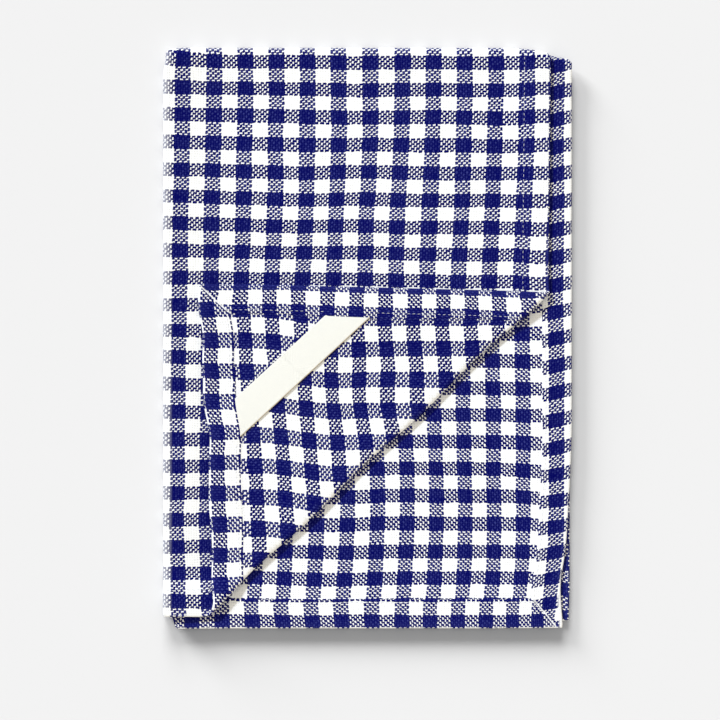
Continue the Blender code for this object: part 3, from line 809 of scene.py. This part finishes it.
def cloth_faces(flat, spans, rim):
    """Faces of the cloth's two sides and of its rim, and the region whose pattern each shows."""
    count = len(flat.verts)
    centres = np.array([face.calc_center_median().xy[:] for face in flat.faces])
    from_side, from_end = hem_depths(*centres.T)
    wrong_side = np.where(np.minimum(from_side, from_end) > HEM_PATTERN_WIDTH, LEAF,
                          np.where(from_side < from_end, SIDE_HEM, END_HEM))
    faces, regions = [], []
    for face, region in zip(flat.faces, wrong_side):
        corners = [vertex.index for vertex in face.verts]
        faces += [corners, [count + corner for corner in reversed(corners)]]
        regions += [LEAF, region]
    rows = [rim] + [range(2 * count + step * len(rim), 2 * count + (step + 1) * len(rim))
                    for step in range(RIM_CELLS - 1)] + [[count + index for index in rim]]
    order = {index: place for place, index in enumerate(rim)}
    for first, second in spans:
        span = second.co - first.co
        a, b = order[first.index], order[second.index]
        faces += [[near[b], near[a], far[a], far[b]] for near, far in zip(rows, rows[1:])]
        regions += [SIDE_HEM if abs(span.y) > abs(span.x) else END_HEM] * RIM_CELLS
    return faces, regions


def cloth_piece():
    """The cloth as one closed thin sheet, with its pattern's map and the places of its painted
    highlight and wear.
    """
    flat = flat_mesh()
    flat.verts.index_update()
    places = np.array([vertex.co.xy[:] for vertex in flat.verts])
    spans = edge_spans(flat)
    outward = rim_steps(spans)
    rim = sorted(outward)
    rim_out = np.array([outward[index][:] for index in rim])
    points, flat_places = cloth_points(places, rim, rim_out)
    faces, regions = cloth_faces(flat, spans, rim)
    flat.free()
    mesh = new_mesh("folded_cloth", points, [], faces)
    mesh.validate()
    sizes = np.empty(len(mesh.polygons), dtype=np.int64)
    mesh.polygons.foreach_get("loop_total", sizes)
    corners = flat_places[corner_points(mesh)].T
    add_weave_map(mesh, weave_places(*corners, np.repeat(regions, sizes)))
    u, l = flat_places.T
    # Painted highlight and wear near the free edges, and painted highlight on the seams and the
    # curled edge
    rubbed = bell(np.minimum(*edge_distances(u, l)), EDGE_SHEEN_WEAR_REACH)
    for name, share in (("rubbed", rubbed), ("bare", painted_seam_curl_share(u, l))):
        mesh.attributes.new(name, "FLOAT", "POINT").data.foreach_set("value", share)
    mesh.shade_smooth()
    return add_piece("folded_cloth", mesh)


def new_mesh(name, points, edges, faces):
    """A mesh in metres in the frame, from rows of places in millimetres."""
    mesh = bpy.data.meshes.new(name)
    mesh.from_pydata(((np.vstack(points) + CENTRING) * METRES).tolist(), edges, faces)
    return mesh


def corner_points(mesh):
    """The point of the mesh at each corner of its faces."""
    corners = np.empty(len(mesh.loops), dtype=np.int64)
    mesh.loops.foreach_get("vertex_index", corners)
    return corners


def add_weave_map(mesh, places):
    """Give each face corner its place in the pattern, from millimetres."""
    layer = mesh.uv_layers.new(name="weave")
    layer.uv.foreach_set("vector", (places * METRES).ravel())


def add_piece(name, mesh):
    piece = bpy.data.objects.new(name, mesh)
    bpy.context.scene.collection.objects.link(piece)
    return piece


# The loop

def loop_end(start, direction):
    """Where a straight line on the turned corner comes to the inner edge of a hem."""
    near, far = 0.0, LOOP_LONGEST
    for _ in range(LOOP_HALVINGS):
        middle = (near + far) / 2.0
        places = flat_from_plan(*TURN.flat_plan(*(start + direction * middle)))
        if min(hem_depths(*places)) > HEM_WIDTH + HEM_STEP:
            near = middle
        else:
            far = middle
    return start + direction * (near + LOOP_TUCK)


def loop_piece():
    """The tape as a flat strip that runs under the hems at both ends."""
    beside = np.array((-LOOP_DIRECTION[1], LOOP_DIRECTION[0]))
    half = LOOP_THICKNESS / 2.0
    section = [(-LOOP_WIDTH / 2.0 + half * (1.0 - math.sin(angle)), half * math.cos(angle))
               for angle in np.linspace(0.0, math.pi, LOOP_EDGE_PLACES)]
    flat_half = LOOP_WIDTH / 2.0 - 2.0 * half
    lanes = np.linspace(-flat_half, flat_half, LOOP_LANES)
    ring = [(lane, half) for lane in lanes[::-1]] + section
    ring += [(lane, -half) for lane in lanes] + [(-place, -rise) for place, rise in section]
    share = np.linspace(0.0, 1.0, LOOP_CELLS + 1)
    bow = LOOP_BOW * np.sin(math.pi * share) ** LOOP_BOW_SHARPNESS
    points, maps = [], []
    for lane, rise in ring:
        start = LOOP_MIDDLE + beside * lane
        first, last = loop_end(start, -LOOP_DIRECTION), loop_end(start, LOOP_DIRECTION)
        plan = first + (last - first) * share[:, None]
        past = plan - LOOP_MIDDLE
        reach = np.linalg.norm(past, axis=1) * np.sign(past @ LOOP_DIRECTION)
        curl = LOOP_CURL * (lane / LOOP_WIDTH * 2.0) ** 2 * np.sin(math.pi * share)
        z = TURN.height(*plan.T) + THICKNESS / 2.0 + LOOP_REST + half + bow + curl + rise
        points.append(np.column_stack([plan, z]))
        maps.append(np.stack([np.full_like(share, lane + rise), reach], axis=-1))
    count, row = len(ring), LOOP_CELLS + 1
    faces = []
    for lane in range(count):
        following = (lane + 1) % count
        for cell in range(LOOP_CELLS):
            a, b = lane * row + cell, following * row + cell
            faces.append([a, a + 1, b + 1, b])
    faces.append([lane * row for lane in range(count)])
    faces.append([lane * row + LOOP_CELLS for lane in reversed(range(count))])
    mesh = new_mesh("tape_loop", points, [], faces)
    add_weave_map(mesh, np.vstack(maps)[corner_points(mesh)])
    outward_normals(mesh)
    mesh.shade_smooth()
    return add_piece("tape_loop", mesh)


def outward_normals(mesh):
    shell = bmesh.new()
    shell.from_mesh(mesh)
    bmesh.ops.recalc_face_normals(shell, faces=shell.faces[:])
    shell.to_mesh(mesh)
    shell.free()


# Stitches, as one bead for each, laid on the seams by geometry nodes

def stitch_lines():
    """Rows of places (u, l) along the hems' seams, one row for each edge of the flat cloth."""
    from_edge = HEM_WIDTH - STITCH_INSET
    share = np.arange(SEAM_CELLS + 1) * (1.0 / SEAM_CELLS)
    lines = []
    for side in (1.0, -1.0):
        near = np.array([side * SEAM_NEAR_U])
        l = mix(*(end_place(near, leaves, from_edge)[0] for leaves in (UPPER, LOWER)), share)
        lines.append((side * (flat_width(side * np.ones_like(l), l) - from_edge), l))
    for end, leaves in ((-1.0, UPPER), (1.0, LOWER)):
        near = np.array([end * SEAM_NEAR_L])
        first = from_edge - flat_width(-np.ones(1), near)[0]
        last = flat_width(np.ones(1), near)[0] - from_edge
        u = mix(first, last, share)
        lines.append((u, end_place(u, leaves, from_edge)))
    return lines


def stitch_paths():
    """The seams as edges with the direction that each point of the cloth faces."""
    points, facings, edges = [], [], []
    for u, l in stitch_lines():
        middle, normal = lay_cloth(u, l), cloth_normal(u, l)
        for side, depth in ((1.0, THICKNESS / 2.0), (-1.0, THICKNESS / 2.0 + HEM_SHOWN)):
            first = sum(len(row) for row in points)
            seam = middle + side * normal * depth
            seam[:, 2] = np.maximum(seam[:, 2], STITCH_LOWEST)
            points.append(seam)
            facings.append(side * normal)
            edges += [(first + step, first + step + 1) for step in range(len(u) - 1)]
    mesh = new_mesh("hem_stitches", points, edges, [])
    facing = mesh.attributes.new("facing", "FLOAT_VECTOR", "POINT")
    facing.data.foreach_set("vector", np.vstack(facings).ravel())
    return mesh


# Kinds of node that the materials use often
MATH, VECTOR, RANGE = "ShaderNodeMath", "ShaderNodeVectorMath", "ShaderNodeMapRange"
MIX, NOISE = "ShaderNodeMix", "ShaderNodeTexNoise"


def add_node(tree, kind, inputs=None, **settings):
    """Add a node with its settings, and give each input a value, an output or a node's first."""
    node = tree.nodes.new(kind)
    for name, value in settings.items():
        setattr(node, name, value)
    for name, value in (inputs or {}).items():
        if isinstance(value, bpy.types.Node):
            value = next(output for output in value.outputs if output.enabled)
        if isinstance(value, bpy.types.NodeSocket):
            tree.links.new(value, node.inputs[name])
        else:
            node.inputs[name].default_value = value
    return node


def stitch_tree():
    """Geometry nodes that lay one short stitch after another along each seam."""
    tree = bpy.data.node_groups.new("running stitches", "GeometryNodeTree")
    for name, kind in (("Geometry", "Geometry"), ("Stitch Pitch", "Float"),
                       ("Stitch Length", "Float"), ("Thread Width", "Float"), ("Seed", "Int"),
                       ("Thread", "Material")):
        tree.interface.new_socket(name, in_out="INPUT", socket_type="NodeSocket" + kind)
    tree.interface.new_socket("Geometry", in_out="OUTPUT", socket_type="NodeSocketGeometry")
    add = partial(add_node, tree)
    given = add("NodeGroupInput").outputs
    seam = add("GeometryNodeMeshToCurve", {"Mesh": given["Geometry"]})
    points = add("GeometryNodeResampleCurve", {"Curve": seam, "Length": given["Stitch Pitch"]},
                 mode="LENGTH")
    bead = add("GeometryNodeMeshUVSphere", {"Segments": 6, "Rings": 5, "Radius": 0.5})
    width = given["Thread Width"]
    size = add("ShaderNodeCombineXYZ", {"X": given["Stitch Length"], "Y": width, "Z": width})
    shape = add("GeometryNodeTransform", {"Geometry": bead, "Scale": size})
    tangent = add("GeometryNodeInputTangent")
    facing = add("GeometryNodeInputNamedAttribute", {"Name": "facing"}, data_type="FLOAT_VECTOR")
    upright = add("FunctionNodeAlignRotationToVector", {"Vector": facing}, axis="Z")
    turned = add("FunctionNodeAlignRotationToVector", {"Rotation": upright, "Vector": tangent},
                 axis="X", pivot_axis="Z")
    slant = add("FunctionNodeRandomValue", {"Min": (0.0, 0.0, -STITCH_SLANT),
                                            "Max": (0.0, 0.0, STITCH_SLANT),
                                            "Seed": given["Seed"]}, data_type="FLOAT_VECTOR")
    slanted = add("FunctionNodeRotateEuler", {"Rotation": turned, "Rotate By": slant},
                  space="LOCAL")
    laid = add("GeometryNodeInstanceOnPoints", {"Points": points, "Instance": shape,
                                                "Rotation": slanted})
    real = add("GeometryNodeRealizeInstances", {"Geometry": laid})
    soft = add("GeometryNodeSetShadeSmooth", {"Geometry": real})
    sewn = add("GeometryNodeSetMaterial", {"Geometry": soft, "Material": given["Thread"]})
    add("NodeGroupOutput", {"Geometry": sewn})
    return tree


def made_by_nodes(path, tree, values):
    """The plain mesh that a geometry node tree makes from a path."""
    carrier = add_piece("seam_paths", path)
    modifier = carrier.modifiers.new("stitches", "NODES")
    modifier.node_group = tree
    for socket in tree.interface.items_tree:
        if socket.in_out == "INPUT" and socket.name in values:
            modifier[socket.identifier] = values[socket.name]
    bpy.context.view_layer.update()
    evaluated = carrier.evaluated_get(bpy.context.evaluated_depsgraph_get())
    mesh = bpy.data.meshes.new_from_object(evaluated)
    bpy.data.objects.remove(carrier, do_unlink=True)
    return mesh


# Materials

def linear(code):
    """Linear red, green, blue and alpha of an sRGB hex colour."""
    parts = [int(code[start:start + 2], 16) / 255.0 for start in (1, 3, 5)]
    return (*[part / 12.92 if part <= 0.04045 else ((part + 0.055) / 1.055) ** 2.4
              for part in parts], 1.0)


def new_material(name):
    """An empty material, and the function that adds its nodes."""
    material = bpy.data.materials.new(name)
    material.use_nodes = True
    material.node_tree.nodes.clear()
    return material, partial(add_node, material.node_tree)


def finished(material, add, surface):
    """The material, once its surface has its colour, roughness and relief."""
    shader = add("ShaderNodeBsdfPrincipled", surface)
    add("ShaderNodeOutputMaterial", {"Surface": shader})
    return material


def gingham_cotton(settings):
    """Yarn-dyed cotton gingham: matt, with navy and white threads that pass over and under."""
    material, add = new_material("yarn-dyed cotton gingham")
    place = add("ShaderNodeUVMap", uv_map="weave")
    # The threads are not straight: they drift over 60 mm and shake over 3 mm.
    for drift, reach in THREAD_DRIFTS:
        noise = add(NOISE, {"Vector": place, "Scale": 1.0 / (drift * METRES), "Detail": 1.0})
        swing = add(VECTOR, {0: noise.outputs["Color"], 1: (0.5, 0.5, 0.5)}, operation="SUBTRACT")
        shift = add(VECTOR, {0: swing, 1: (reach * METRES,) * 3}, operation="MULTIPLY")
        place = add(VECTOR, {0: place, 1: shift}, operation="ADD")
    axes = add("ShaderNodeSeparateXYZ", {0: place}).outputs
    threads = []
    for axis, size in zip(axes, (CHECK_WIDTH, CHECK_LENGTH)):
        # Thread spacing is a check's size over its 12 threads: 1.6 mm across and 1.4 mm along.
        pitch = size / CHECK_THREADS * METRES
        count = add(MATH, {0: axis, 1: pitch}, operation="DIVIDE")
        index = add(MATH, {0: count}, operation="FLOOR")
        inside = add(MATH, {0: count, 1: 1.0}, operation="FLOORED_MODULO")
        offset = add(MATH, {0: inside, 1: 2.0, 2: -1.0}, operation="MULTIPLY_ADD")
        square = add(MATH, {0: offset, 1: offset}, operation="MULTIPLY")
        profile = add(MATH, {0: 1.0, 1: square}, operation="SUBTRACT")
        band = add(MATH, {0: index, 1: 0.5 + CHECK_THREADS / 4.0}, operation="ADD")
        turn = add(MATH, {0: band, 1: CHECK_THREADS}, operation="FLOORED_MODULO")
        dark = add(MATH, {0: turn, 1: CHECK_THREADS / 2.0}, operation="LESS_THAN")
        shade = add("ShaderNodeTexWhiteNoise", {"W": index}, noise_dimensions="1D")
        threads.append((count, index, offset, profile, dark, shade))
    counts, indices, offsets, profiles, darks, shades = zip(*threads)
    heights = []
    for own, other, sign in ((0, 1, CRIMP), (1, 0, -CRIMP)):
        # The yarn's twist slants each crossing a little.
        slanted = add(MATH, {0: offsets[own], 1: TWIST, 2: counts[other]},
                      operation="MULTIPLY_ADD")
        phase = add(MATH, {0: slanted, 1: indices[own]}, operation="ADD")
        half_turns = add(MATH, {0: phase, 1: math.pi}, operation="MULTIPLY")
        wave = add(MATH, {0: half_turns}, operation="SINE")
        crimp = add(MATH, {0: wave, 1: sign}, operation="MULTIPLY")
        heights.append(add(MATH, {0: profiles[own], 1: YARN_ROUND, 2: crimp},
                           operation="MULTIPLY_ADD"))
    # Dyed yarn is fuller than bleached yarn, so it covers a little more where they cross.
    reaches = [add(MATH, {0: dark, 1: DYED_FULLER, 2: height}, operation="MULTIPLY_ADD")
               for dark, height in zip(darks, heights)]
    warp_over = add(MATH, {0: reaches[0], 1: reaches[1]}, operation="GREATER_THAN")
    height = add(MATH, {0: heights[0], 1: heights[1]}, operation="MAXIMUM")
    dark, shade = (add(MIX, {"Factor": warp_over, "A": pair[1], "B": pair[0]})
                   for pair in (darks, shades))
    fibre = add(NOISE, {"Vector": place, "Scale": 1.0 / (COTTON_FIBRE * METRES), "Detail": 2.0})
    # Painted highlight: the crowns of the threads are lighter, more on some crossings, and less on
    # the crowns of the threads that run across.
    crown = add(RANGE, {"Value": height, "From Min": 0.5, "From Max": 1.05, "To Max": 1.5})
    warp_over_highlight_share = add(RANGE, {"Value": warp_over, "To Min": 0.25, "To Max": 1.1})
    lit = add(MATH, {0: crown, 1: warp_over_highlight_share}, operation="MULTIPLY")
    crossing = add("ShaderNodeCombineXYZ", {0: indices[0], 1: indices[1]})
    speck = add("ShaderNodeTexWhiteNoise", {"Vector": crossing}, noise_dimensions="2D")
    spread = add(MATH, {0: speck, 1: SPECKLE, 2: shade}, operation="MULTIPLY_ADD")
    painted_crown_highlight = add(MATH, {0: lit, 1: spread}, operation="MULTIPLY")
    # Near the free edges the navy is lighter too: painted highlight and wear.
    rubbed = add("ShaderNodeAttribute", attribute_name="rubbed").outputs["Fac"]
    summed_highlight_and_wear = add(MATH, {0: rubbed, 1: EDGE_SHEEN_WEAR_STRENGTH, 2: painted_crown_highlight}, operation="MULTIPLY_ADD")
    patchy_highlight_and_wear = add(MATH, {0: fibre, 1: summed_highlight_and_wear}, operation="MULTIPLY")
    colour = add(MIX, {"Factor": patchy_highlight_and_wear, "A": settings.navy, "B": settings.navy_highlight_and_wear},
                 data_type="RGBA")
    colour = add(MIX, {"Factor": dark, "A": settings.white, "B": colour}, data_type="RGBA")
    # Painted highlight: the navy turns white along the crests of the side fold and the top fold on
    # the upper leaves, on the corners' seams and along the curled edge.
    edges = add("ShaderNodeSeparateXYZ", {0: add("ShaderNodeTexCoord").outputs["Object"]}).outputs
    side_fold_highlight, top_fold_highlight, upper = (
        add(RANGE, {"Value": axis, "From Min": start * METRES, "From Max": end * METRES,
                    "To Max": most})
        for axis, (start, end), most in zip(edges, (SIDE_FOLD_HIGHLIGHT_X, TOP_FOLD_HIGHLIGHT_Y, FOLD_HIGHLIGHT_FROM_Z),
                                            (0.9, 0.9, 1.0)))
    painted_white_highlight = add(MATH, {0: side_fold_highlight, 1: top_fold_highlight}, operation="MAXIMUM")
    painted_white_highlight = add(MATH, {0: painted_white_highlight, 1: upper}, operation="MULTIPLY")
    bare = add("ShaderNodeAttribute", attribute_name="bare").outputs["Fac"]
    painted_white_highlight = add(MATH, {0: bare, 1: SEAM_CURL_HIGHLIGHT_STRENGTH, 2: painted_white_highlight}, operation="MULTIPLY_ADD")
    patchy_white_highlight = add(MATH, {0: painted_white_highlight, 1: fibre}, operation="MULTIPLY")
    colour = add(MIX, {"Factor": patchy_white_highlight, "A": colour, "B": settings.white}, data_type="RGBA")
    # The grooves between threads are in shade, some more than others.
    shadow = add(RANGE, {"Value": height, "From Min": 0.1, "From Max": 0.75, "To Min": 0.6})
    groove = add(MIX, {"Factor": speck, "A": 1.0, "B": shadow})
    shaded = add(VECTOR, {0: colour, "Scale": groove}, operation="SCALE")
    rough = add(MATH, {0: fibre, 1: 0.3, 2: height}, operation="MULTIPLY_ADD")
    bump = add("ShaderNodeBump", {"Height": rough, "Distance": 0.25 * METRES, "Strength": 0.25})
    return finished(material, add, {"Base Color": shaded, "Normal": bump, "Roughness": 0.9,
                                    "Specular IOR Level": 0.02})


def cotton_tape(settings):
    """Woven cotton tape, unbleached: matt cream with fine ribs across it."""
    material, add = new_material("unbleached cotton tape")
    place = add("ShaderNodeUVMap", uv_map="weave")
    axes = add("ShaderNodeSeparateXYZ", {0: place}).outputs
    # Ribs 0.9 mm apart across the tape, and warp threads 0.7 mm apart along it.
    waves = []
    for axis, pitch in zip(axes, TAPE_THREADS):
        turns = add(MATH, {0: axis, 1: 2.0 * math.pi / (pitch * METRES)}, operation="MULTIPLY")
        waves.append(add(MATH, {0: turns}, operation="SINE"))
    weave = add(MATH, {0: waves[0], 1: waves[1]}, operation="MULTIPLY")
    fibre = add(NOISE, {"Vector": place, "Scale": 1.0 / (TAPE_FIBRE * METRES), "Detail": 3.0})
    height = add(MATH, {0: fibre, 1: 0.8, 2: weave}, operation="MULTIPLY_ADD")
    # Painted shade: the cotton between the ribs is darker, in the tape shade colour.
    level = add(RANGE, {"Value": height, "From Min": -0.8, "From Max": 1.2})
    colour = add(MIX, {"Factor": level, "A": settings.tape_shade, "B": settings.tape},
                 data_type="RGBA")
    # Painted shadow: a brown line along both of the tape's edges stands for its shadow on the
    # cloth.
    from_middle = add(MATH, {0: axes[0]}, operation="ABSOLUTE")
    inside, outside = TAPE_EDGE_SHADOW
    rim = add(RANGE, {"Value": from_middle, "From Min": inside * METRES,
                      "From Max": outside * METRES})
    colour = add(MIX, {"Factor": rim, "A": colour, "B": settings.tape_edge_shadow}, data_type="RGBA")
    bump = add("ShaderNodeBump", {"Height": height, "Distance": 0.15 * METRES, "Strength": 0.4})
    return finished(material, add, {"Base Color": colour, "Normal": bump, "Roughness": 0.85,
                                    "Specular IOR Level": 0.2})


def sewing_thread(settings):
    """Spun polyester thread, white: slightly brighter and smoother than the cotton round it."""
    material, add = new_material("white sewing thread")
    place = add("ShaderNodeTexCoord").outputs["Object"]
    fibre = add(NOISE, {"Vector": place, "Scale": 1.0 / (THREAD_FIBRE * METRES), "Detail": 1.0})
    colour = add(MIX, {"Factor": fibre, "A": settings.thread, "B": settings.thread_shade},
                 data_type="RGBA")
    return finished(material, add, {"Base Color": colour, "Roughness": 0.6,
                                    "Specular IOR Level": 0.3})


def studio_paper(settings):
    """Seamless paper, matt: a pale even ground with no grain that shows."""
    material, add = new_material("seamless paper")
    place = add("ShaderNodeTexCoord").outputs["Object"]
    fibre = add(NOISE, {"Vector": place, "Scale": PAPER_GRAINS / METRES, "Detail": 2.0})
    bump = add("ShaderNodeBump", {"Height": fibre, "Distance": 0.02 * METRES, "Strength": 0.1})
    return finished(material, add, {"Base Color": settings.paper, "Normal": bump,
                                    "Roughness": 1.0, "Specular IOR Level": 0.0})


# Settings

def colour_setting(name, description, code):
    return bpy.props.FloatVectorProperty(name=name, description=description, subtype="COLOR",
                                         size=4, min=0.0, max=1.0, default=linear(code))


def length_setting(name, description, default, least, most):
    """A length in metres, from millimetres."""
    return bpy.props.FloatProperty(name=name, description=description, unit="LENGTH",
                                   default=default * METRES, min=least * METRES,
                                   max=most * METRES)


def strength_setting(name, description, default):
    return bpy.props.FloatProperty(name=name, description=description, default=default, min=0.0)


class ClothSettings(bpy.types.PropertyGroup):
    navy: colour_setting("Navy", "Dyed yarn in the dark checks", "#020458")
    # Navy of the painted highlight on the threads' crowns, and of the painted highlight and wear
    # near the free edges
    navy_highlight_and_wear: colour_setting("Navy highlight and wear", "Dyed yarn where its fibres stand up", "#32387E")
    white: colour_setting("White", "Bleached yarn in the light checks", "#F0F2F7")


class LoopSettings(bpy.types.PropertyGroup):
    tape: colour_setting("Tape", "Unbleached cotton of the loop", "#ECEDEC")
    tape_shade: colour_setting("Tape shade", "Cotton between the tape's ribs", "#E4E5E2")
    # Brown of the painted shadow along the tape's edges
    tape_edge_shadow: colour_setting("Tape edge shadow", "Cotton at the tape's two edges", "#B5A68E")


class StitchSettings(bpy.types.PropertyGroup):
    pitch: length_setting("Stitch pitch", "Distance from one stitch to the next", 3.1, 1.0, 8.0)
    length: length_setting("Stitch length", "Length of the thread that shows", 2.0, 0.5, 8.0)
    width: length_setting("Thread width", "Width of the sewing thread", 0.36, 0.1, 1.5)
    thread: colour_setting("Thread", "Sewing thread", "#DFE1E8")
    thread_shade: colour_setting("Thread shade", "Sewing thread between its fibres", "#BFC2D0")


class StageSettings(bpy.types.PropertyGroup):
    paper: colour_setting("Paper", "Seamless paper under the towel", "#CBCBCB")
    camera_height: length_setting("Camera height", "Camera's height above the paper",
                                  2000.0, 500.0, 5000.0)
    paper_strength: strength_setting("Paper strength", "Wide light on the paper from above", 0.5)
    key_strength: strength_setting("Key strength",
                                   "Soft light on the paper from beyond the top fold", 3.95)
    side_strength: strength_setting("Side strength", "Soft light on the paper from the left", 5.0)
    top_strength: strength_setting("Top strength", "Soft light on the cloth from above", 1.0)
    low_strength: strength_setting("Low strength",
                                   "Low light on the cloth from the upper left", 3.2)
    fill_strength: strength_setting("Fill strength",
                                    "Soft light on the cloth from the lower right", 1.5)
    air_strength: strength_setting("Air strength", "Even light from all round", 0.36)


# Operators

class TOWEL_OT_cloth(bpy.types.Operator):
    """Add the folded cloth with its hems and gingham weave"""
    bl_idname = "tea_towel.cloth"
    bl_label = "Folded Cloth"

    def execute(self, context):
        piece = cloth_piece()
        piece.data.materials.append(gingham_cotton(context.scene.towel_cloth))
        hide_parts("cloth")
        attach(piece, "root")
        return {"FINISHED"}


class TOWEL_OT_loop(bpy.types.Operator):
    """Add the tape loop that lies across the turned corner"""
    bl_idname = "tea_towel.loop"
    bl_label = "Tape Loop"

    def execute(self, context):
        piece = loop_piece()
        piece.data.materials.append(cotton_tape(context.scene.towel_loop))
        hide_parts("loop")
        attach(piece, "root")
        return {"FINISHED"}


class TOWEL_OT_stitches(bpy.types.Operator):
    """Add the running stitches along all four hems"""
    bl_idname = "tea_towel.stitches"
    bl_label = "Hem Stitches"

    def execute(self, context):
        settings = context.scene.towel_stitches
        values = {"Stitch Pitch": settings.pitch, "Stitch Length": settings.length,
                  "Thread Width": settings.width, "Thread": sewing_thread(settings),
                  "Seed": STITCH_SEED}
        piece = add_piece("hem_stitches", made_by_nodes(stitch_paths(), stitch_tree(), values))
        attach(piece, "root")
        return {"FINISHED"}


class TOWEL_OT_stage(bpy.types.Operator):
    """Add the paper ground, the camera straight above the towel and the soft lamps"""
    bl_idname = "tea_towel.stage"
    bl_label = "Studio"

    def execute(self, context):
        scene = context.scene
        settings = scene.towel_stage
        sheet = bpy.data.meshes.new("paper_ground")
        corners = [(x * GROUND_HALF, y * GROUND_HALF, 0.0)
                   for x, y in ((-1, -1), (1, -1), (1, 1), (-1, 1))]
        sheet.from_pydata(corners, [], [(0, 1, 2, 3)])
        sheet.materials.append(studio_paper(settings))
        ground = add_piece("paper_ground", sheet)
        lens = bpy.data.cameras.new("camera")
        lens.sensor_width = SENSOR_SIDE
        lens.lens = SENSOR_SIDE * (settings.camera_height - VIEW_Z) / VIEW_SIDE
        lens.clip_end = 20.0
        scene.camera = add_piece("camera", lens)
        scene.camera.location = (*VIEW_MIDDLE, settings.camera_height)
        receivers = {name: bpy.data.collections.new(name + " lit") for name in ("paper", "cloth")}
        for collection in receivers.values():
            collection.objects.link(ground)
        receivers["cloth"].collection_objects[0].light_linking.link_state = "EXCLUDE"
        for name, source, softness, strength, colour, lit in LAMPS:
            lamp = bpy.data.lights.new(name, "SUN")
            lamp.energy, lamp.color = getattr(settings, strength), colour
            lamp.angle = math.radians(softness)
            light = add_piece(name, lamp)
            light.location = source
            light.rotation_euler = (-Vector(source)).to_track_quat("-Z", "Y").to_euler()
            light.light_linking.receiver_collection = receivers[lit]
        scene.world = bpy.data.worlds.new("studio air")
        scene.world.use_nodes = True
        air = scene.world.node_tree.nodes["Background"].inputs
        air["Color"].default_value = (*WHITE, 1.0)
        air["Strength"].default_value = settings.air_strength
        scene.view_settings.view_transform = "Standard"
        return {"FINISHED"}


class TOWEL_PT_panel(bpy.types.Panel):
    """The towel's settings, with a button for each piece"""
    bl_label = "Tea Towel"
    bl_idname = "TOWEL_PT_panel"
    bl_space_type = "VIEW_3D"
    bl_region_type = "UI"
    bl_category = "Tea Towel"

    def draw(self, context):
        for name, (group, operator) in GROUPS.items():
            box = self.layout.box()
            for setting in group.__annotations__:
                box.prop(getattr(context.scene, name), setting)
            box.operator(operator.bl_idname)


# The settings and the operator of each piece, by the name of the settings in the scene
GROUPS = {
    "towel_stage": (StageSettings, TOWEL_OT_stage),
    "towel_cloth": (ClothSettings, TOWEL_OT_cloth),
    "towel_loop": (LoopSettings, TOWEL_OT_loop),
    "towel_stitches": (StitchSettings, TOWEL_OT_stitches),
}
CLASSES = (*(cls for pair in GROUPS.values() for cls in pair), TOWEL_PT_panel)


def register():
    for cls in CLASSES:
        bpy.utils.register_class(cls)
    for name, (group, _) in GROUPS.items():
        setattr(bpy.types.Scene, name, bpy.props.PointerProperty(type=group))


def unregister():
    for name in GROUPS:
        delattr(bpy.types.Scene, name)
    for cls in reversed(CLASSES):
        bpy.utils.unregister_class(cls)


def main():
    register()
    bpy.ops.tea_towel.stage()
    bpy.ops.tea_towel.cloth()
    bpy.ops.tea_towel.loop()
    bpy.ops.tea_towel.stitches()


if __name__ == "__main__":
    main()
